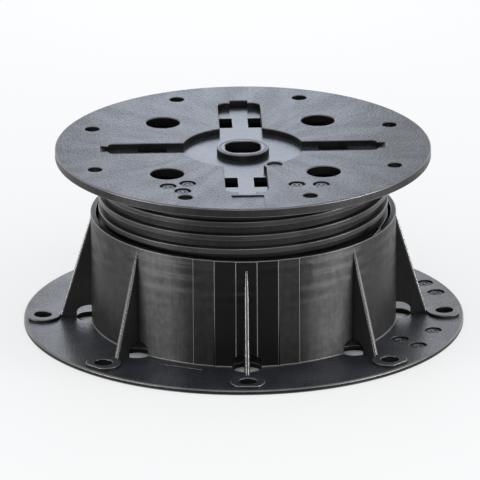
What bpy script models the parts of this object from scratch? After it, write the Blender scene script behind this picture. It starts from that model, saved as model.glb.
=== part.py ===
"""Adjustable screw pedestal that carries paving or decking above a flat roof.

Two injection mouldings in black plastic. The base is a round flange with an upright
cup, threaded inside and braced by eight ribs. The head is a round disc with a threaded
skirt that screws into the cup. Metres, +Z up, the origin at the centre of the underside.
"""
import math

import bmesh
import bpy
from mathutils import Matrix, Vector

# Flange of the base
FLANGE_RADIUS = 0.1015
FLANGE_THICKNESS = 0.0024
FLANGE_EDGE_ROUND = 0.0007

# Cup of the base
CUP_RADIUS = 0.0704
CUP_WALL = 0.0022
CUP_HEIGHT = 0.0538
CUP_FOOT_FILLET = 0.0008
RIM_WIDTH = 0.0026
RIM_DEPTH = 0.0020
RIM_ROUND = 0.0003

# Flat panels on the cup around the front rib: half angle in degrees, how far they stand proud
FRONT_PANELS = ((20.3, 0.00035), (12.1, 0.00060), (4.1, 0.00085))
PANEL_TOP_GAP = 0.0006

# Stop tooth on the rim: the angle of its sheer face, its ramp's angle, its height
STOP_ANGLE = -27.0
STOP_RAMP = 7.0
STOP_HEIGHT = 0.0020

# Ribs, which narrow towards their free edge
RIB_COUNT = 8
RIB_TOP = 0.0482
RIB_TOP_LAND = 0.0004
RIB_REACH = 0.0850
RIB_EDGE_THICKNESS = 0.0018
RIB_FOOT_THICKNESS = 0.0035

# Screw bosses on the flange, one past each rib
BOSS_CIRCLE_RADIUS = 0.0927
BOSS_RADIUS = 0.0080
BOSS_HEIGHT = 0.0014
BOSS_FLAT = 0.0066
BOSS_HOLE_RADIUS = 0.00415

# Drain at each rib's foot: a round hole with a domed relief above it
DRAIN_RADIUS = 0.00675
DRAIN_SIDE_HEIGHT = 0.0052
DRAIN_TOP_HEIGHT = 0.0087

# Thread, right-handed and single start
THREAD_PITCH = 0.0065
THREAD_RUN_OUT = 0.08
THREAD_END_SHARE = 0.05
THREAD_CLEARANCE = 0.0003
OUTER_THREAD_RADIUS = 0.0667
OUTER_THREAD_DEPTH = 0.0023
OUTER_CREST = 0.0026
OUTER_FLANK = 0.0005
OUTER_TURNS = 7
OUTER_RIDGE_BELOW_TOP = 0.0132
INNER_CREST = 0.0022
INNER_FLANK = 0.0006
INNER_TURNS = 4
INNER_THREAD_FOOT = 0.0232
THREAD_SINK = 0.0005

# Disc of the head, at the height to which the pedestal is screwed out
HEAD_TOP = 0.0845
HEAD_TURN = 0.75
DISC_RADIUS = 0.0865
DISC_THICKNESS = 0.0041
DISC_EDGE_ROUND = 0.0006
DISC_LOWER_ROUND = 0.0003
SKIRT_WALL = 0.0028
SKIRT_LENGTH = 0.0520

# Cross-shaped recess in the disc, for a spacer that keeps the slabs apart
RECESS_DEPTH = 0.0028
RECESS_FLOOR = 0.0024
RECESS_RADIUS = 0.0280
SLOT_WIDTH = 0.0196
SLOT_REACH = 0.0625
SLOT_CORNER = 0.0040
ARM_WIDTH = 0.0140
ARM_REACH = 0.0620
ARM_CORNER = 0.0030
NOTCH_WIDTH = 0.0082
NOTCH_REACH = 0.0658
WINDOW_START = 0.0349
WINDOW_END = 0.0483
SLOT_TONGUE = 0.0073
ARM_TONGUE = 0.0044
WINDOW_MARGIN = 0.0001
RECESS_DRAFT = 0.00003

# Hub in the middle of the recess
HUB_RADIUS = 0.0120
HUB_BORE_WIDTH = 0.0163
HUB_BORE_CORNER = 0.0058
HUB_LENGTH = 0.0140
DIMPLE_RADIUS = 0.0032
DIMPLE_DEPTH = 0.0008
DIMPLE_CIRCLE_RADIUS = 0.0262
DIMPLE_ANGLE = -57.0

# Fixing holes and the blank plate in the disc
SMALL_HOLE_RADIUS = 0.00345
SMALL_HOLE_CIRCLE = 0.07435
SMALL_HOLE_COUNT = 8
LARGE_HOLE_RADIUS = 0.00785
LARGE_HOLE_CIRCLE = 0.05073
LARGE_HOLE_COUNT = 4
PLATE_WIDTH = 0.0149
PLATE_START = 0.0673
PLATE_END = 0.0842
PLATE_DEPTH = 0.0003

# Fineness of the round shapes
TURN_STEPS = 48
HOLE_STEPS = 12
BOSS_STEPS = 24
DRAIN_STEPS = 12
DOME_STEPS = 3
CORNER_STEPS = 3
CIRCLE_STEPS = 8
HUB_STEPS = 24
LARGE_HOLE_STEPS = 20

# How far joined shapes sink into each other, how far cutters stand clear of what they cut,
# and how far a ramp keeps from the level face that it meets
OVERLAP = 0.0010
CUTTER_MARGIN = 0.0020
RAMP_STEP = 0.0001
MERGE_DISTANCE = 0.00001

# Sizes that follow from the ones above
CUP_BORE = CUP_RADIUS - CUP_WALL
RIM_BORE = CUP_RADIUS - RIM_WIDTH
SKIRT_RADIUS = OUTER_THREAD_RADIUS - OUTER_THREAD_DEPTH
SKIRT_BORE = SKIRT_RADIUS - SKIRT_WALL
INNER_THREAD_RADIUS = OUTER_THREAD_RADIUS + THREAD_CLEARANCE
DISC_UNDERSIDE = HEAD_TOP - DISC_THICKNESS
RECESS_BOTTOM = HEAD_TOP - RECESS_DEPTH
FRONT = math.radians(-90.0)


def clear_scene():
    """Empty the scene and return the collections for the parts and for their cutters."""
    for old in list(bpy.data.objects):
        bpy.data.objects.remove(old, do_unlink=True)
    parts = bpy.data.collections.new("decking_pedestal")
    tools = bpy.data.collections.new("cutters")
    for collection in (parts, tools):
        bpy.context.scene.collection.children.link(collection)
    return parts, tools


def plastic(name, colour, roughness):
    """Make a plain moulded plastic."""
    material = bpy.data.materials.new(name)
    material.use_nodes = True
    shader = material.node_tree.nodes["Principled BSDF"]
    shader.inputs["Base Color"].default_value = (*colour, 1.0)
    shader.inputs["Roughness"].default_value = roughness
    shader.inputs["Metallic"].default_value = 0.0
    return material


def as_object(name, mesh, collection):
    """Link a mesh to a collection as an object."""
    made = bpy.data.objects.new(name, mesh)
    collection.objects.link(made)
    return made


def as_tool(made):
    """Mark an object as a shape that only cuts or joins another."""
    made.hide_render = True
    made.display_type = "WIRE"
    return made


def shape_of(made):
    """Give the mesh that an object's modifiers or curve settings make, and remove the object."""
    bpy.context.view_layer.update()
    depsgraph = bpy.context.evaluated_depsgraph_get()
    mesh = bpy.data.meshes.new_from_object(made.evaluated_get(depsgraph))
    bpy.data.objects.remove(made, do_unlink=True)
    return mesh


def polar(radius, degrees):
    """Give the (x, y) point at a radius and an angle about Z."""
    angle = math.radians(degrees)
    return radius * math.cos(angle), radius * math.sin(angle)


def arc(centre, radius, start, end, steps):
    """List the points of an arc between two angles in degrees."""
    spokes = [polar(radius, start + (end - start) * step / steps) for step in range(steps + 1)]
    return [(centre[0] + x, centre[1] + y) for x, y in spokes]


def turned(name, profile, collection, steps=TURN_STEPS):
    """Turn a profile of (radius, height) points about Z with a Screw modifier."""
    shape = bmesh.new()
    points = [shape.verts.new((radius, 0.0, height)) for radius, height in profile]
    for first, second in zip(points, points[1:]):
        shape.edges.new((first, second))
    mesh = bpy.data.meshes.new(name)
    shape.to_mesh(mesh)
    shape.free()
    made = as_object(name, mesh, collection)
    screw = made.modifiers.new("Turn", "SCREW")
    screw.angle = math.tau
    screw.steps = steps
    screw.render_steps = steps
    screw.use_merge_vertices = True
    screw.merge_threshold = MERGE_DISTANCE
    screw.use_smooth_shade = False
    return made


def outline_solid(name, outline, bottom, top, collection, hole=None):
    """Extrude a flat outline of (x, y) points between two heights, with a hole if one is given."""
    curve = bpy.data.curves.new(name, "CURVE")
    curve.dimensions = "2D"
    curve.fill_mode = "BOTH"
    curve.extrude = (top - bottom) / 2
    for loop in (outline, hole or []):
        if not loop:
            continue
        spline = curve.splines.new("POLY")
        spline.points.add(len(loop) - 1)
        for point, (x, y) in zip(spline.points, loop):
            point.co = (x, y, 0.0, 1.0)
        spline.use_cyclic_u = True
    mesh = shape_of(as_object(name + "_outline", curve, collection))
    shape = bmesh.new()
    shape.from_mesh(mesh)
    bmesh.ops.remove_doubles(shape, verts=shape.verts, dist=MERGE_DISTANCE)
    bmesh.ops.recalc_face_normals(shape, faces=shape.faces)
    bmesh.ops.translate(shape, verts=shape.verts, vec=(0.0, 0.0, (bottom + top) / 2))
    shape.to_mesh(mesh)
    shape.free()
    return as_object(name, mesh, collection)


def cylinder(name, radius, bottom, top, centre, steps, collection):
    """Make an upright cylinder between two heights, with a flat side across +X."""
    shape = bmesh.new()
    half_step = Matrix.Rotation(math.pi / steps, 4, "Z")
    place = Matrix.Translation((centre[0], centre[1], (bottom + top) / 2))
    bmesh.ops.create_cone(
        shape, cap_ends=True, segments=steps, radius1=radius, radius2=radius,
        depth=top - bottom, matrix=place @ half_step,
    )
    mesh = bpy.data.meshes.new(name)
    shape.to_mesh(mesh)
    shape.free()
    return as_object(name, mesh, collection)


def rounded_rectangle(half_x, half_y, radius):
    """List the points of a rectangle with round corners, counter-clockwise."""
    points = []
    for quarter in range(4):
        sign_x = 1 if quarter in (0, 3) else -1
        sign_y = 1 if quarter in (0, 1) else -1
        for step in range(CORNER_STEPS + 1):
            angle = math.radians(90.0 * (quarter + step / CORNER_STEPS))
            points.append((
                sign_x * (half_x - radius) + radius * math.cos(angle),
                sign_y * (half_y - radius) + radius * math.sin(angle),
            ))
    return points


def ring_of_copies(name, pattern, count, first_angle, collection):
    """Join copies of a shape, turned about Z at equal angles, into one mesh."""
    shape = bmesh.new()
    for number in range(count):
        before = len(shape.verts)
        shape.from_mesh(pattern.data)
        shape.verts.ensure_lookup_table()
        turn = Matrix.Rotation(first_angle + math.tau * number / count, 4, "Z")
        bmesh.ops.transform(shape, matrix=turn, verts=shape.verts[before:])
    mesh = bpy.data.meshes.new(name)
    shape.to_mesh(mesh)
    shape.free()
    bpy.data.objects.remove(pattern, do_unlink=True)
    return as_tool(as_object(name, mesh, collection))


def combine(target, tool, operation):
    """Join a tool to a target, or cut it out of the target, with a live Boolean."""
    boolean = target.modifiers.new(tool.name, "BOOLEAN")
    boolean.operation = operation
    boolean.solver = "EXACT"
    boolean.object = as_tool(tool)
    tool.parent = target


def helical_ridge(name, root, crest, root_half, crest_half, turns, foot, first_angle, collection):
    """Sweep a thread ridge up a helix with a Screw modifier, close its ends and run them out."""
    shape = bmesh.new()
    section = ((root, -root_half), (crest, -crest_half), (crest, crest_half), (root, root_half))
    corners = [shape.verts.new((radius, 0.0, height)) for radius, height in section]
    for number, corner in enumerate(corners):
        shape.edges.new((corners[number - 1], corner))
    mesh = bpy.data.meshes.new(name)
    shape.to_mesh(mesh)
    shape.free()
    swept = as_object(name + "_sweep", mesh, collection)
    screw = swept.modifiers.new("Thread", "SCREW")
    screw.angle = math.tau
    screw.screw_offset = THREAD_PITCH
    screw.iterations = turns
    screw.steps = TURN_STEPS
    screw.render_steps = TURN_STEPS
    screw.use_merge_vertices = False
    screw.use_smooth_shade = False
    mesh = shape_of(swept)
    shape = bmesh.new()
    shape.from_mesh(mesh)
    open_edges = [edge for edge in shape.edges if edge.is_boundary]
    bmesh.ops.holes_fill(shape, edges=open_edges, sides=len(section))
    bmesh.ops.recalc_face_normals(shape, faces=shape.faces)
    for vertex in shape.verts:
        run_out(vertex, root, turns)
    place = Matrix.Translation((0.0, 0.0, foot)) @ Matrix.Rotation(first_angle, 4, "Z")
    bmesh.ops.transform(shape, matrix=place, verts=shape.verts)
    shape.to_mesh(mesh)
    shape.free()
    return as_object(name, mesh, collection)


def run_out(vertex, root, turns):
    """Sink the ridge into its wall over the last part of a turn at either end."""
    angle = math.atan2(vertex.co.y, vertex.co.x) % math.tau
    whole_turns = round(vertex.co.z / THREAD_PITCH - angle / math.tau)
    along = whole_turns + angle / math.tau
    share = max(THREAD_END_SHARE, min(1.0, min(along, turns - along) / THREAD_RUN_OUT))
    radius = math.hypot(vertex.co.x, vertex.co.y)
    sunk = root + (radius - root) * share
    vertex.co.x *= sunk / radius
    vertex.co.y *= sunk / radius


def base_profile():
    """Give the section of the flange and the cup, from the cup's floor round to the axis."""
    return [
        (0.0, FLANGE_THICKNESS),
        (CUP_BORE, FLANGE_THICKNESS),
        (CUP_BORE, CUP_HEIGHT - RIM_DEPTH - (RIM_WIDTH - CUP_WALL)),
        (RIM_BORE, CUP_HEIGHT - RIM_DEPTH),
        (RIM_BORE, CUP_HEIGHT),
        (CUP_RADIUS - RIM_ROUND, CUP_HEIGHT),
        (CUP_RADIUS, CUP_HEIGHT - RIM_ROUND),
        (CUP_RADIUS, FLANGE_THICKNESS + CUP_FOOT_FILLET),
        (CUP_RADIUS + CUP_FOOT_FILLET, FLANGE_THICKNESS),
        (FLANGE_RADIUS - FLANGE_EDGE_ROUND, FLANGE_THICKNESS),
        (FLANGE_RADIUS, FLANGE_THICKNESS - FLANGE_EDGE_ROUND),
        (FLANGE_RADIUS, FLANGE_EDGE_ROUND),
        (FLANGE_RADIUS - FLANGE_EDGE_ROUND, 0.0),
        (0.0, 0.0),
    ]


def make_ribs(collection):
    """Make the eight ribs, each a triangle that narrows towards its slanted edge."""
    foot = FLANGE_THICKNESS - OVERLAP
    wall = CUP_RADIUS - OVERLAP
    toe = Vector((RIB_REACH, FLANGE_THICKNESS))
    peak = Vector((CUP_RADIUS + RIB_TOP_LAND, RIB_TOP))
    outline = [(wall, foot), (RIB_REACH, foot), toe, peak, (wall, RIB_TOP)]
    rib = outline_solid("rib", outline, -RIB_FOOT_THICKNESS, RIB_FOOT_THICKNESS, collection)
    edge = (peak - toe).normalized()
    inward = Vector((-edge.y, edge.x))
    deepest = (Vector((wall, foot)) - toe).dot(inward)
    for vertex in rib.data.vertices:
        radius, height, side = vertex.co
        depth = (Vector((radius, height)) - toe).dot(inward)
        share = max(0.0, depth / deepest)
        thickness = RIB_EDGE_THICKNESS + (RIB_FOOT_THICKNESS - RIB_EDGE_THICKNESS) * share
        vertex.co = (radius, -math.copysign(thickness / 2, side), height)
    return ring_of_copies("ribs", rib, RIB_COUNT, FRONT, collection)


def make_bosses(collection):
    """Make the eight screw bosses, each a low disc with a flat on its outer side."""
    boss = cylinder("boss", BOSS_RADIUS, FLANGE_THICKNESS - OVERLAP, FLANGE_THICKNESS + BOSS_HEIGHT,
                    (BOSS_CIRCLE_RADIUS, 0.0), BOSS_STEPS, collection)
    shape = bmesh.new()
    shape.from_mesh(boss.data)
    flat = (BOSS_CIRCLE_RADIUS + BOSS_FLAT, 0.0, 0.0)
    bmesh.ops.bisect_plane(
        shape, geom=shape.verts[:] + shape.edges[:] + shape.faces[:],
        plane_co=flat, plane_no=(1.0, 0.0, 0.0), clear_outer=True,
    )
    bmesh.ops.holes_fill(shape, edges=[edge for edge in shape.edges if edge.is_boundary])
    shape.to_mesh(boss.data)
    shape.free()
    return ring_of_copies("bosses", boss, RIB_COUNT, FRONT, collection)


def make_front_panels(collection):
    """Make the stepped flat panels that stand proud of the cup around the front rib."""
    front = math.degrees(FRONT)
    widest = FRONT_PANELS[0][0]
    steps = []
    before = -OVERLAP
    for half_angle, proud in FRONT_PANELS:
        steps += [(CUP_RADIUS + before, half_angle), (CUP_RADIUS + proud, half_angle)]
        before = proud
    left = [polar(radius, front - angle) for radius, angle in steps]
    right = [polar(radius, front + angle) for radius, angle in reversed(steps)]
    back = arc((0.0, 0.0), CUP_RADIUS - OVERLAP, front + widest, front - widest, CIRCLE_STEPS)[1:-1]
    return outline_solid("front_panels", left + right + back, FLANGE_THICKNESS - OVERLAP,
                         CUP_HEIGHT - PANEL_TOP_GAP, collection)


def make_rim_stop(collection):
    """Make the ramped tooth that stands on the rim."""
    start = STOP_ANGLE - STOP_RAMP
    middle = math.radians(STOP_ANGLE - STOP_RAMP / 2)
    inner = RIM_BORE + RIM_ROUND
    outer = CUP_RADIUS - RIM_ROUND
    outline = [polar(inner, start), polar(outer, start), polar(outer, STOP_ANGLE), polar(inner, STOP_ANGLE)]
    peak = CUP_HEIGHT + STOP_HEIGHT
    tooth = outline_solid("rim_stop", outline, CUP_HEIGHT - OVERLAP, peak, collection)
    for vertex in tooth.data.vertices:
        if vertex.co.z > CUP_HEIGHT and math.atan2(vertex.co.y, vertex.co.x) < middle:
            vertex.co.z = CUP_HEIGHT - RAMP_STEP
    return tooth


def make_drains(collection):
    """Make the cutters of the drains: round through the flange, domed against the wall."""
    dome = DRAIN_TOP_HEIGHT - DRAIN_SIDE_HEIGHT
    quarter = arc((0.0, 0.0), 1.0, 90.0, 0.0, DOME_STEPS)
    profile = [(DRAIN_RADIUS * across, DRAIN_SIDE_HEIGHT + dome * up) for across, up in quarter]
    profile += [(DRAIN_RADIUS, -CUTTER_MARGIN), (0.0, -CUTTER_MARGIN)]
    mesh = shape_of(turned("drain_profile", profile, collection, DRAIN_STEPS))
    mesh.transform(Matrix.Rotation(math.pi / DRAIN_STEPS, 4, "Z"))
    mesh.transform(Matrix.Translation((CUP_RADIUS, 0.0, 0.0)))
    return ring_of_copies("drains", as_object("drain", mesh, collection), RIB_COUNT, FRONT, collection)


def make_boss_holes(collection):
    """Make the cutters of the screw holes in the bosses."""
    top = FLANGE_THICKNESS + BOSS_HEIGHT + CUTTER_MARGIN
    hole = cylinder("boss_hole", BOSS_HOLE_RADIUS, -CUTTER_MARGIN, top, (BOSS_CIRCLE_RADIUS, 0.0),
                    HOLE_STEPS, collection)
    return ring_of_copies("boss_holes", hole, RIB_COUNT, FRONT, collection)


def make_base(parts, tools):
    """Build the base: flange, cup, ribs, bosses, drains and the inner thread."""
    base = turned("base", base_profile(), parts)
    combine(base, make_front_panels(tools), "UNION")
    combine(base, make_ribs(tools), "UNION")
    combine(base, make_bosses(tools), "UNION")
    combine(base, make_rim_stop(tools), "UNION")
    turns_above = (INNER_THREAD_FOOT - outer_thread_foot()) / THREAD_PITCH
    in_the_groove = outer_thread_angle() + math.tau * (turns_above + 0.5)
    ridge = helical_ridge(
        "inner_thread", CUP_BORE + THREAD_SINK, INNER_THREAD_RADIUS, INNER_CREST / 2 + INNER_FLANK,
        INNER_CREST / 2, INNER_TURNS, INNER_THREAD_FOOT, in_the_groove, tools,
    )
    combine(base, ridge, "UNION")
    combine(base, make_drains(tools), "DIFFERENCE")
    combine(base, make_boss_holes(tools), "DIFFERENCE")
    return base


def outer_thread_foot():
    """Give the height of the middle of the head's ridge where its helix starts."""
    highest_at_front = HEAD_TOP - OUTER_RIDGE_BELOW_TOP - OUTER_CREST / 2
    turns_below = OUTER_TURNS - 1 - (outer_thread_angle() - FRONT) / math.tau
    return highest_at_front - turns_below * THREAD_PITCH


def outer_thread_angle():
    """Give the angle at which the head's ridge starts, in the middle of a facet of the skirt."""
    return FRONT + math.pi / TURN_STEPS


def head_profile():
    """Give the section of the disc and the skirt, from the disc's top round to the axis."""
    skirt_foot = DISC_UNDERSIDE - SKIRT_LENGTH
    return [
        (0.0, HEAD_TOP),
        (DISC_RADIUS - DISC_EDGE_ROUND, HEAD_TOP),
        (DISC_RADIUS, HEAD_TOP - DISC_EDGE_ROUND),
        (DISC_RADIUS, DISC_UNDERSIDE + DISC_LOWER_ROUND),
        (DISC_RADIUS - DISC_LOWER_ROUND, DISC_UNDERSIDE),
        (SKIRT_RADIUS, DISC_UNDERSIDE),
        (SKIRT_RADIUS, skirt_foot),
        (SKIRT_BORE, skirt_foot),
        (SKIRT_BORE, DISC_UNDERSIDE),
        (0.0, DISC_UNDERSIDE),
    ]


def cross_outline(grow, slot_reach, arm_reach, notch_reach):
    """Draw the outline of a circle crossed by the slot and the arms, counter-clockwise.

    Every width grows by the given amount, and a notch reach past the slot's end adds its notch.
    The slot and the arms narrow by the draft of the mould towards their ends.
    """
    circle = RECESS_RADIUS + grow
    slot_half = SLOT_WIDTH / 2 + grow
    arm_half = ARM_WIDTH / 2 + grow
    arm_meets = math.degrees(math.asin(arm_half / circle))
    slot_meets = math.degrees(math.acos(slot_half / circle))
    arm_corner = (arm_reach - ARM_CORNER, arm_half - RECESS_DRAFT - ARM_CORNER)
    slot_corner = (slot_half - RECESS_DRAFT - SLOT_CORNER, slot_reach - SLOT_CORNER)
    quarter = arc(arm_corner, ARM_CORNER, 0.0, 90.0, CORNER_STEPS)
    quarter += arc((0.0, 0.0), circle, arm_meets, slot_meets, CIRCLE_STEPS)
    quarter += arc(slot_corner, SLOT_CORNER, 0.0, 90.0, CORNER_STEPS)
    if notch_reach > slot_reach:
        quarter += [(NOTCH_WIDTH / 2, slot_reach + RECESS_DRAFT), (NOTCH_WIDTH / 2, notch_reach)]
    half = quarter + [(-x, y) for x, y in reversed(quarter)]
    return half + [(-x, -y) for x, y in half]


def make_pan(tools):
    """Make the thickening under the disc that gives the recess its floor."""
    bottom = RECESS_BOTTOM - RECESS_FLOOR
    top = DISC_UNDERSIDE + OVERLAP
    reach = SKIRT_BORE + OVERLAP
    return outline_solid("pan", cross_outline(RECESS_FLOOR, reach, reach, 0.0), bottom, top, tools)


def make_recess(tools):
    """Make the cutter of the cross-shaped recess, which leaves the hub standing."""
    outline = cross_outline(0.0, SLOT_REACH, ARM_REACH, NOTCH_REACH)
    quarter_step = 90.0 / HUB_STEPS
    hub = arc((0.0, 0.0), HUB_RADIUS, quarter_step, quarter_step + 360.0, HUB_STEPS)[:-1]
    return outline_solid("recess", outline, RECESS_BOTTOM, HEAD_TOP + CUTTER_MARGIN, tools, hub)


def make_arm_ramp(tools):
    """Make the cutter of the notches past the arms, whose floors ramp up to the disc's top."""
    foot = RECESS_BOTTOM + RAMP_STEP
    top = HEAD_TOP + CUTTER_MARGIN
    reach = NOTCH_REACH + CUTTER_MARGIN * (NOTCH_REACH - ARM_REACH) / RECESS_DEPTH
    outline = [(-ARM_REACH, foot), (ARM_REACH, foot), (reach, top), (-reach, top)]
    ramp = outline_solid("arm_ramp", outline, -NOTCH_WIDTH / 2, NOTCH_WIDTH / 2, tools)
    ramp.data.transform(Matrix.Rotation(math.radians(90.0), 4, "X"))
    shape = bmesh.new()
    shape.from_mesh(ramp.data)
    keep = HUB_RADIUS + OVERLAP
    bmesh.ops.bisect_plane(
        shape, geom=shape.verts[:] + shape.edges[:] + shape.faces[:],
        plane_co=(keep, 0.0, 0.0), plane_no=(1.0, 0.0, 0.0), clear_inner=True,
    )
    bmesh.ops.holes_fill(shape, edges=[edge for edge in shape.edges if edge.is_boundary])
    shape.to_mesh(ramp.data)
    shape.free()
    return ring_of_copies("arm_ramps", ramp, 2, 0.0, tools)


def make_windows(tools):
    """Make the cutters of the eight windows in the recess's floor."""
    bottom = RECESS_BOTTOM - RECESS_FLOOR - CUTTER_MARGIN
    top = HEAD_TOP + CUTTER_MARGIN
    shape = bmesh.new()
    for angle, width, tongue in ((0.0, ARM_WIDTH, ARM_TONGUE), (90.0, SLOT_WIDTH, SLOT_TONGUE),
                                 (180.0, ARM_WIDTH, ARM_TONGUE), (270.0, SLOT_WIDTH, SLOT_TONGUE)):
        for side in (-1, 1):
            near = tongue / 2
            far = width / 2 - WINDOW_MARGIN
            centre = Vector(((WINDOW_START + WINDOW_END) / 2, side * (near + far) / 2, (bottom + top) / 2))
            size = Matrix.Diagonal((WINDOW_END - WINDOW_START, far - near, top - bottom, 1.0))
            turn = Matrix.Rotation(math.radians(angle), 4, "Z")
            bmesh.ops.create_cube(shape, size=1.0, matrix=turn @ Matrix.Translation(centre) @ size)
    mesh = bpy.data.meshes.new("windows")
    shape.to_mesh(mesh)
    shape.free()
    return as_object("windows", mesh, tools)


def make_disc_holes(tools):
    """Make the cutters of the small and the large fixing holes."""
    bottom = DISC_UNDERSIDE - CUTTER_MARGIN
    top = HEAD_TOP + CUTTER_MARGIN
    small = cylinder("small_hole", SMALL_HOLE_RADIUS, bottom, top, (SMALL_HOLE_CIRCLE, 0.0),
                     HOLE_STEPS, tools)
    large = cylinder("large_hole", LARGE_HOLE_RADIUS, bottom, top, (LARGE_HOLE_CIRCLE, 0.0),
                     LARGE_HOLE_STEPS, tools)
    return (
        ring_of_copies("small_holes", small, SMALL_HOLE_COUNT, math.pi / SMALL_HOLE_COUNT, tools),
        ring_of_copies("large_holes", large, LARGE_HOLE_COUNT, math.pi / LARGE_HOLE_COUNT, tools),
    )


def make_plate(tools):
    """Make the cutter of the shallow blank plate in front of the slot."""
    half = PLATE_WIDTH / 2
    outline = [(-half, -PLATE_END), (half, -PLATE_END), (half, -PLATE_START), (-half, -PLATE_START)]
    return outline_solid("plate", outline, HEAD_TOP - PLATE_DEPTH, HEAD_TOP + CUTTER_MARGIN, tools)


def make_head(parts, tools):
    """Build the head: disc, skirt with its thread, recess, hub and holes."""
    head = turned("head", head_profile(), parts)
    ridge = helical_ridge(
        "outer_thread", SKIRT_RADIUS - THREAD_SINK, OUTER_THREAD_RADIUS, OUTER_CREST / 2 + OUTER_FLANK,
        OUTER_CREST / 2, OUTER_TURNS, outer_thread_foot(), outer_thread_angle(), tools,
    )
    combine(head, ridge, "UNION")
    combine(head, make_pan(tools), "UNION")
    hub = cylinder("hub_tube", HUB_RADIUS, HEAD_TOP - HUB_LENGTH, DISC_UNDERSIDE + OVERLAP, (0.0, 0.0),
                   HUB_STEPS, tools)
    combine(head, hub, "UNION")
    combine(head, make_recess(tools), "DIFFERENCE")
    combine(head, make_arm_ramp(tools), "DIFFERENCE")
    bore = outline_solid(
        "hub_bore", rounded_rectangle(HUB_BORE_WIDTH / 2, HUB_BORE_WIDTH / 2, HUB_BORE_CORNER),
        HEAD_TOP - HUB_LENGTH - CUTTER_MARGIN, HEAD_TOP + CUTTER_MARGIN, tools,
    )
    combine(head, bore, "DIFFERENCE")
    combine(head, make_windows(tools), "DIFFERENCE")
    dimple = cylinder("dimple", DIMPLE_RADIUS, RECESS_BOTTOM - DIMPLE_DEPTH, HEAD_TOP + CUTTER_MARGIN,
                      polar(DIMPLE_CIRCLE_RADIUS, DIMPLE_ANGLE), HOLE_STEPS, tools)
    combine(head, dimple, "DIFFERENCE")
    small_holes, large_holes = make_disc_holes(tools)
    combine(head, small_holes, "DIFFERENCE")
    combine(head, large_holes, "DIFFERENCE")
    combine(head, make_plate(tools), "DIFFERENCE")
    return head


def main():
    """Build the pedestal."""
    parts, tools = clear_scene()
    base = make_base(parts, tools)
    base.data.materials.append(plastic("base_plastic", (0.022, 0.023, 0.026), 0.40))
    head = make_head(parts, tools)
    head.data.materials.append(plastic("head_plastic", (0.030, 0.031, 0.035), 0.38))
    head.rotation_euler.z = math.radians(HEAD_TURN)


main()
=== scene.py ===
"""Decking pedestal in a plain studio.

Two black polypropylene mouldings: a round flange with a ribbed, threaded cup, and a slotted
disc on a threaded skirt that screws into it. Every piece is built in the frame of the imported
model, in metres, with +Z up and the front rib at -Y.
"""
import logging
import math
from collections.abc import Callable, Iterable, Mapping, Sequence
from dataclasses import dataclass, field
from enum import Enum
from itertools import product
from typing import Any

import bmesh
import bpy
from mathutils import Matrix, Vector
from mathutils.geometry import delaunay_2d_cdt


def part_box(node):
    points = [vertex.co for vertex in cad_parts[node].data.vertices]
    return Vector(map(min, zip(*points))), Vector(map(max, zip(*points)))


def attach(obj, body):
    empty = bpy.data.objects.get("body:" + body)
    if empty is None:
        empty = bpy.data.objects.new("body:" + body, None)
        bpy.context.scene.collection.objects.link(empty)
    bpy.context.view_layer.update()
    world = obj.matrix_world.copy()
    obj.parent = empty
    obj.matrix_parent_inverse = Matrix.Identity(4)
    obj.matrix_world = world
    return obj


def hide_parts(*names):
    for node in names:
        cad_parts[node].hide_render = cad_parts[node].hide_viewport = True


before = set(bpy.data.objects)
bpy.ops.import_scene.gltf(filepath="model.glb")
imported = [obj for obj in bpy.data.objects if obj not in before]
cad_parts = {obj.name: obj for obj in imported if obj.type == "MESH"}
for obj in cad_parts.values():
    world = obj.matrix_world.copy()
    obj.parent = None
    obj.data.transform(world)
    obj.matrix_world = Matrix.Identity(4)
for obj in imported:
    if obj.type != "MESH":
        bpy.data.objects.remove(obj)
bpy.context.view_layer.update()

# The front rib's angle about Z, in degrees.
FRONT = -90.0
# A section's side that is longer than this is a face of its own, and a shorter one part of a round.
STRAIGHT_RUN = 0.0005
# The shading breaks at a hard bend, and at a slight one where a long side meets a short one.
SLIGHT_BEND = math.radians(5.0)
HARD_BEND = math.radians(36.0)
LONGER = 3.0
# Nearer points are one point, and radii that differ by more than a step's aren't one wall.
WELD = 1e-8
STEP = 1e-6
# The triangulation's mode that stays inside the sides, and the Mix node's sockets for colours.
INSIDE_THE_SIDES = 1
MIX_FACTOR, MIX_FIRST, MIX_SECOND, MIX_RESULT = 0, 6, 7, 2
# Octaves of the soft noises and of the fine ones.
RICH, PLAIN = 4.0, 2.0
# Straight sides of the large edges, the walls, the hub and the holes.
EDGE_SIDES, WALL_SIDES, HUB_SIDES = 360, 280, 96
WIDE_SIDES, DRAIN_SIDES, HOLE_SIDES, SCREW_SIDES = 64, 48, 40, 36
# What the floor and the world show to the camera and in gloss.
WHITE = {"Color": (1.0, 1.0, 1.0, 1.0), "Strength": 1.0}

log = logging.getLogger("pedestal")

Profile = list[tuple[float, float]]
Colour = tuple[float, float, float]
Limits = tuple[float, float]


class Body(Enum):
    """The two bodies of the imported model, each with one moulding."""

    BASE = "base"
    HEAD = "head"

    @property
    def slot(self) -> str:
        """The name of the moulding's material slot."""
        return f"{self.value}_plastic"


class Face(Enum):
    """The kinds of face on a moulding, each with its own material slot."""

    FLAT = 0
    EDGE = 1
    SIDE = 2


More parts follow.
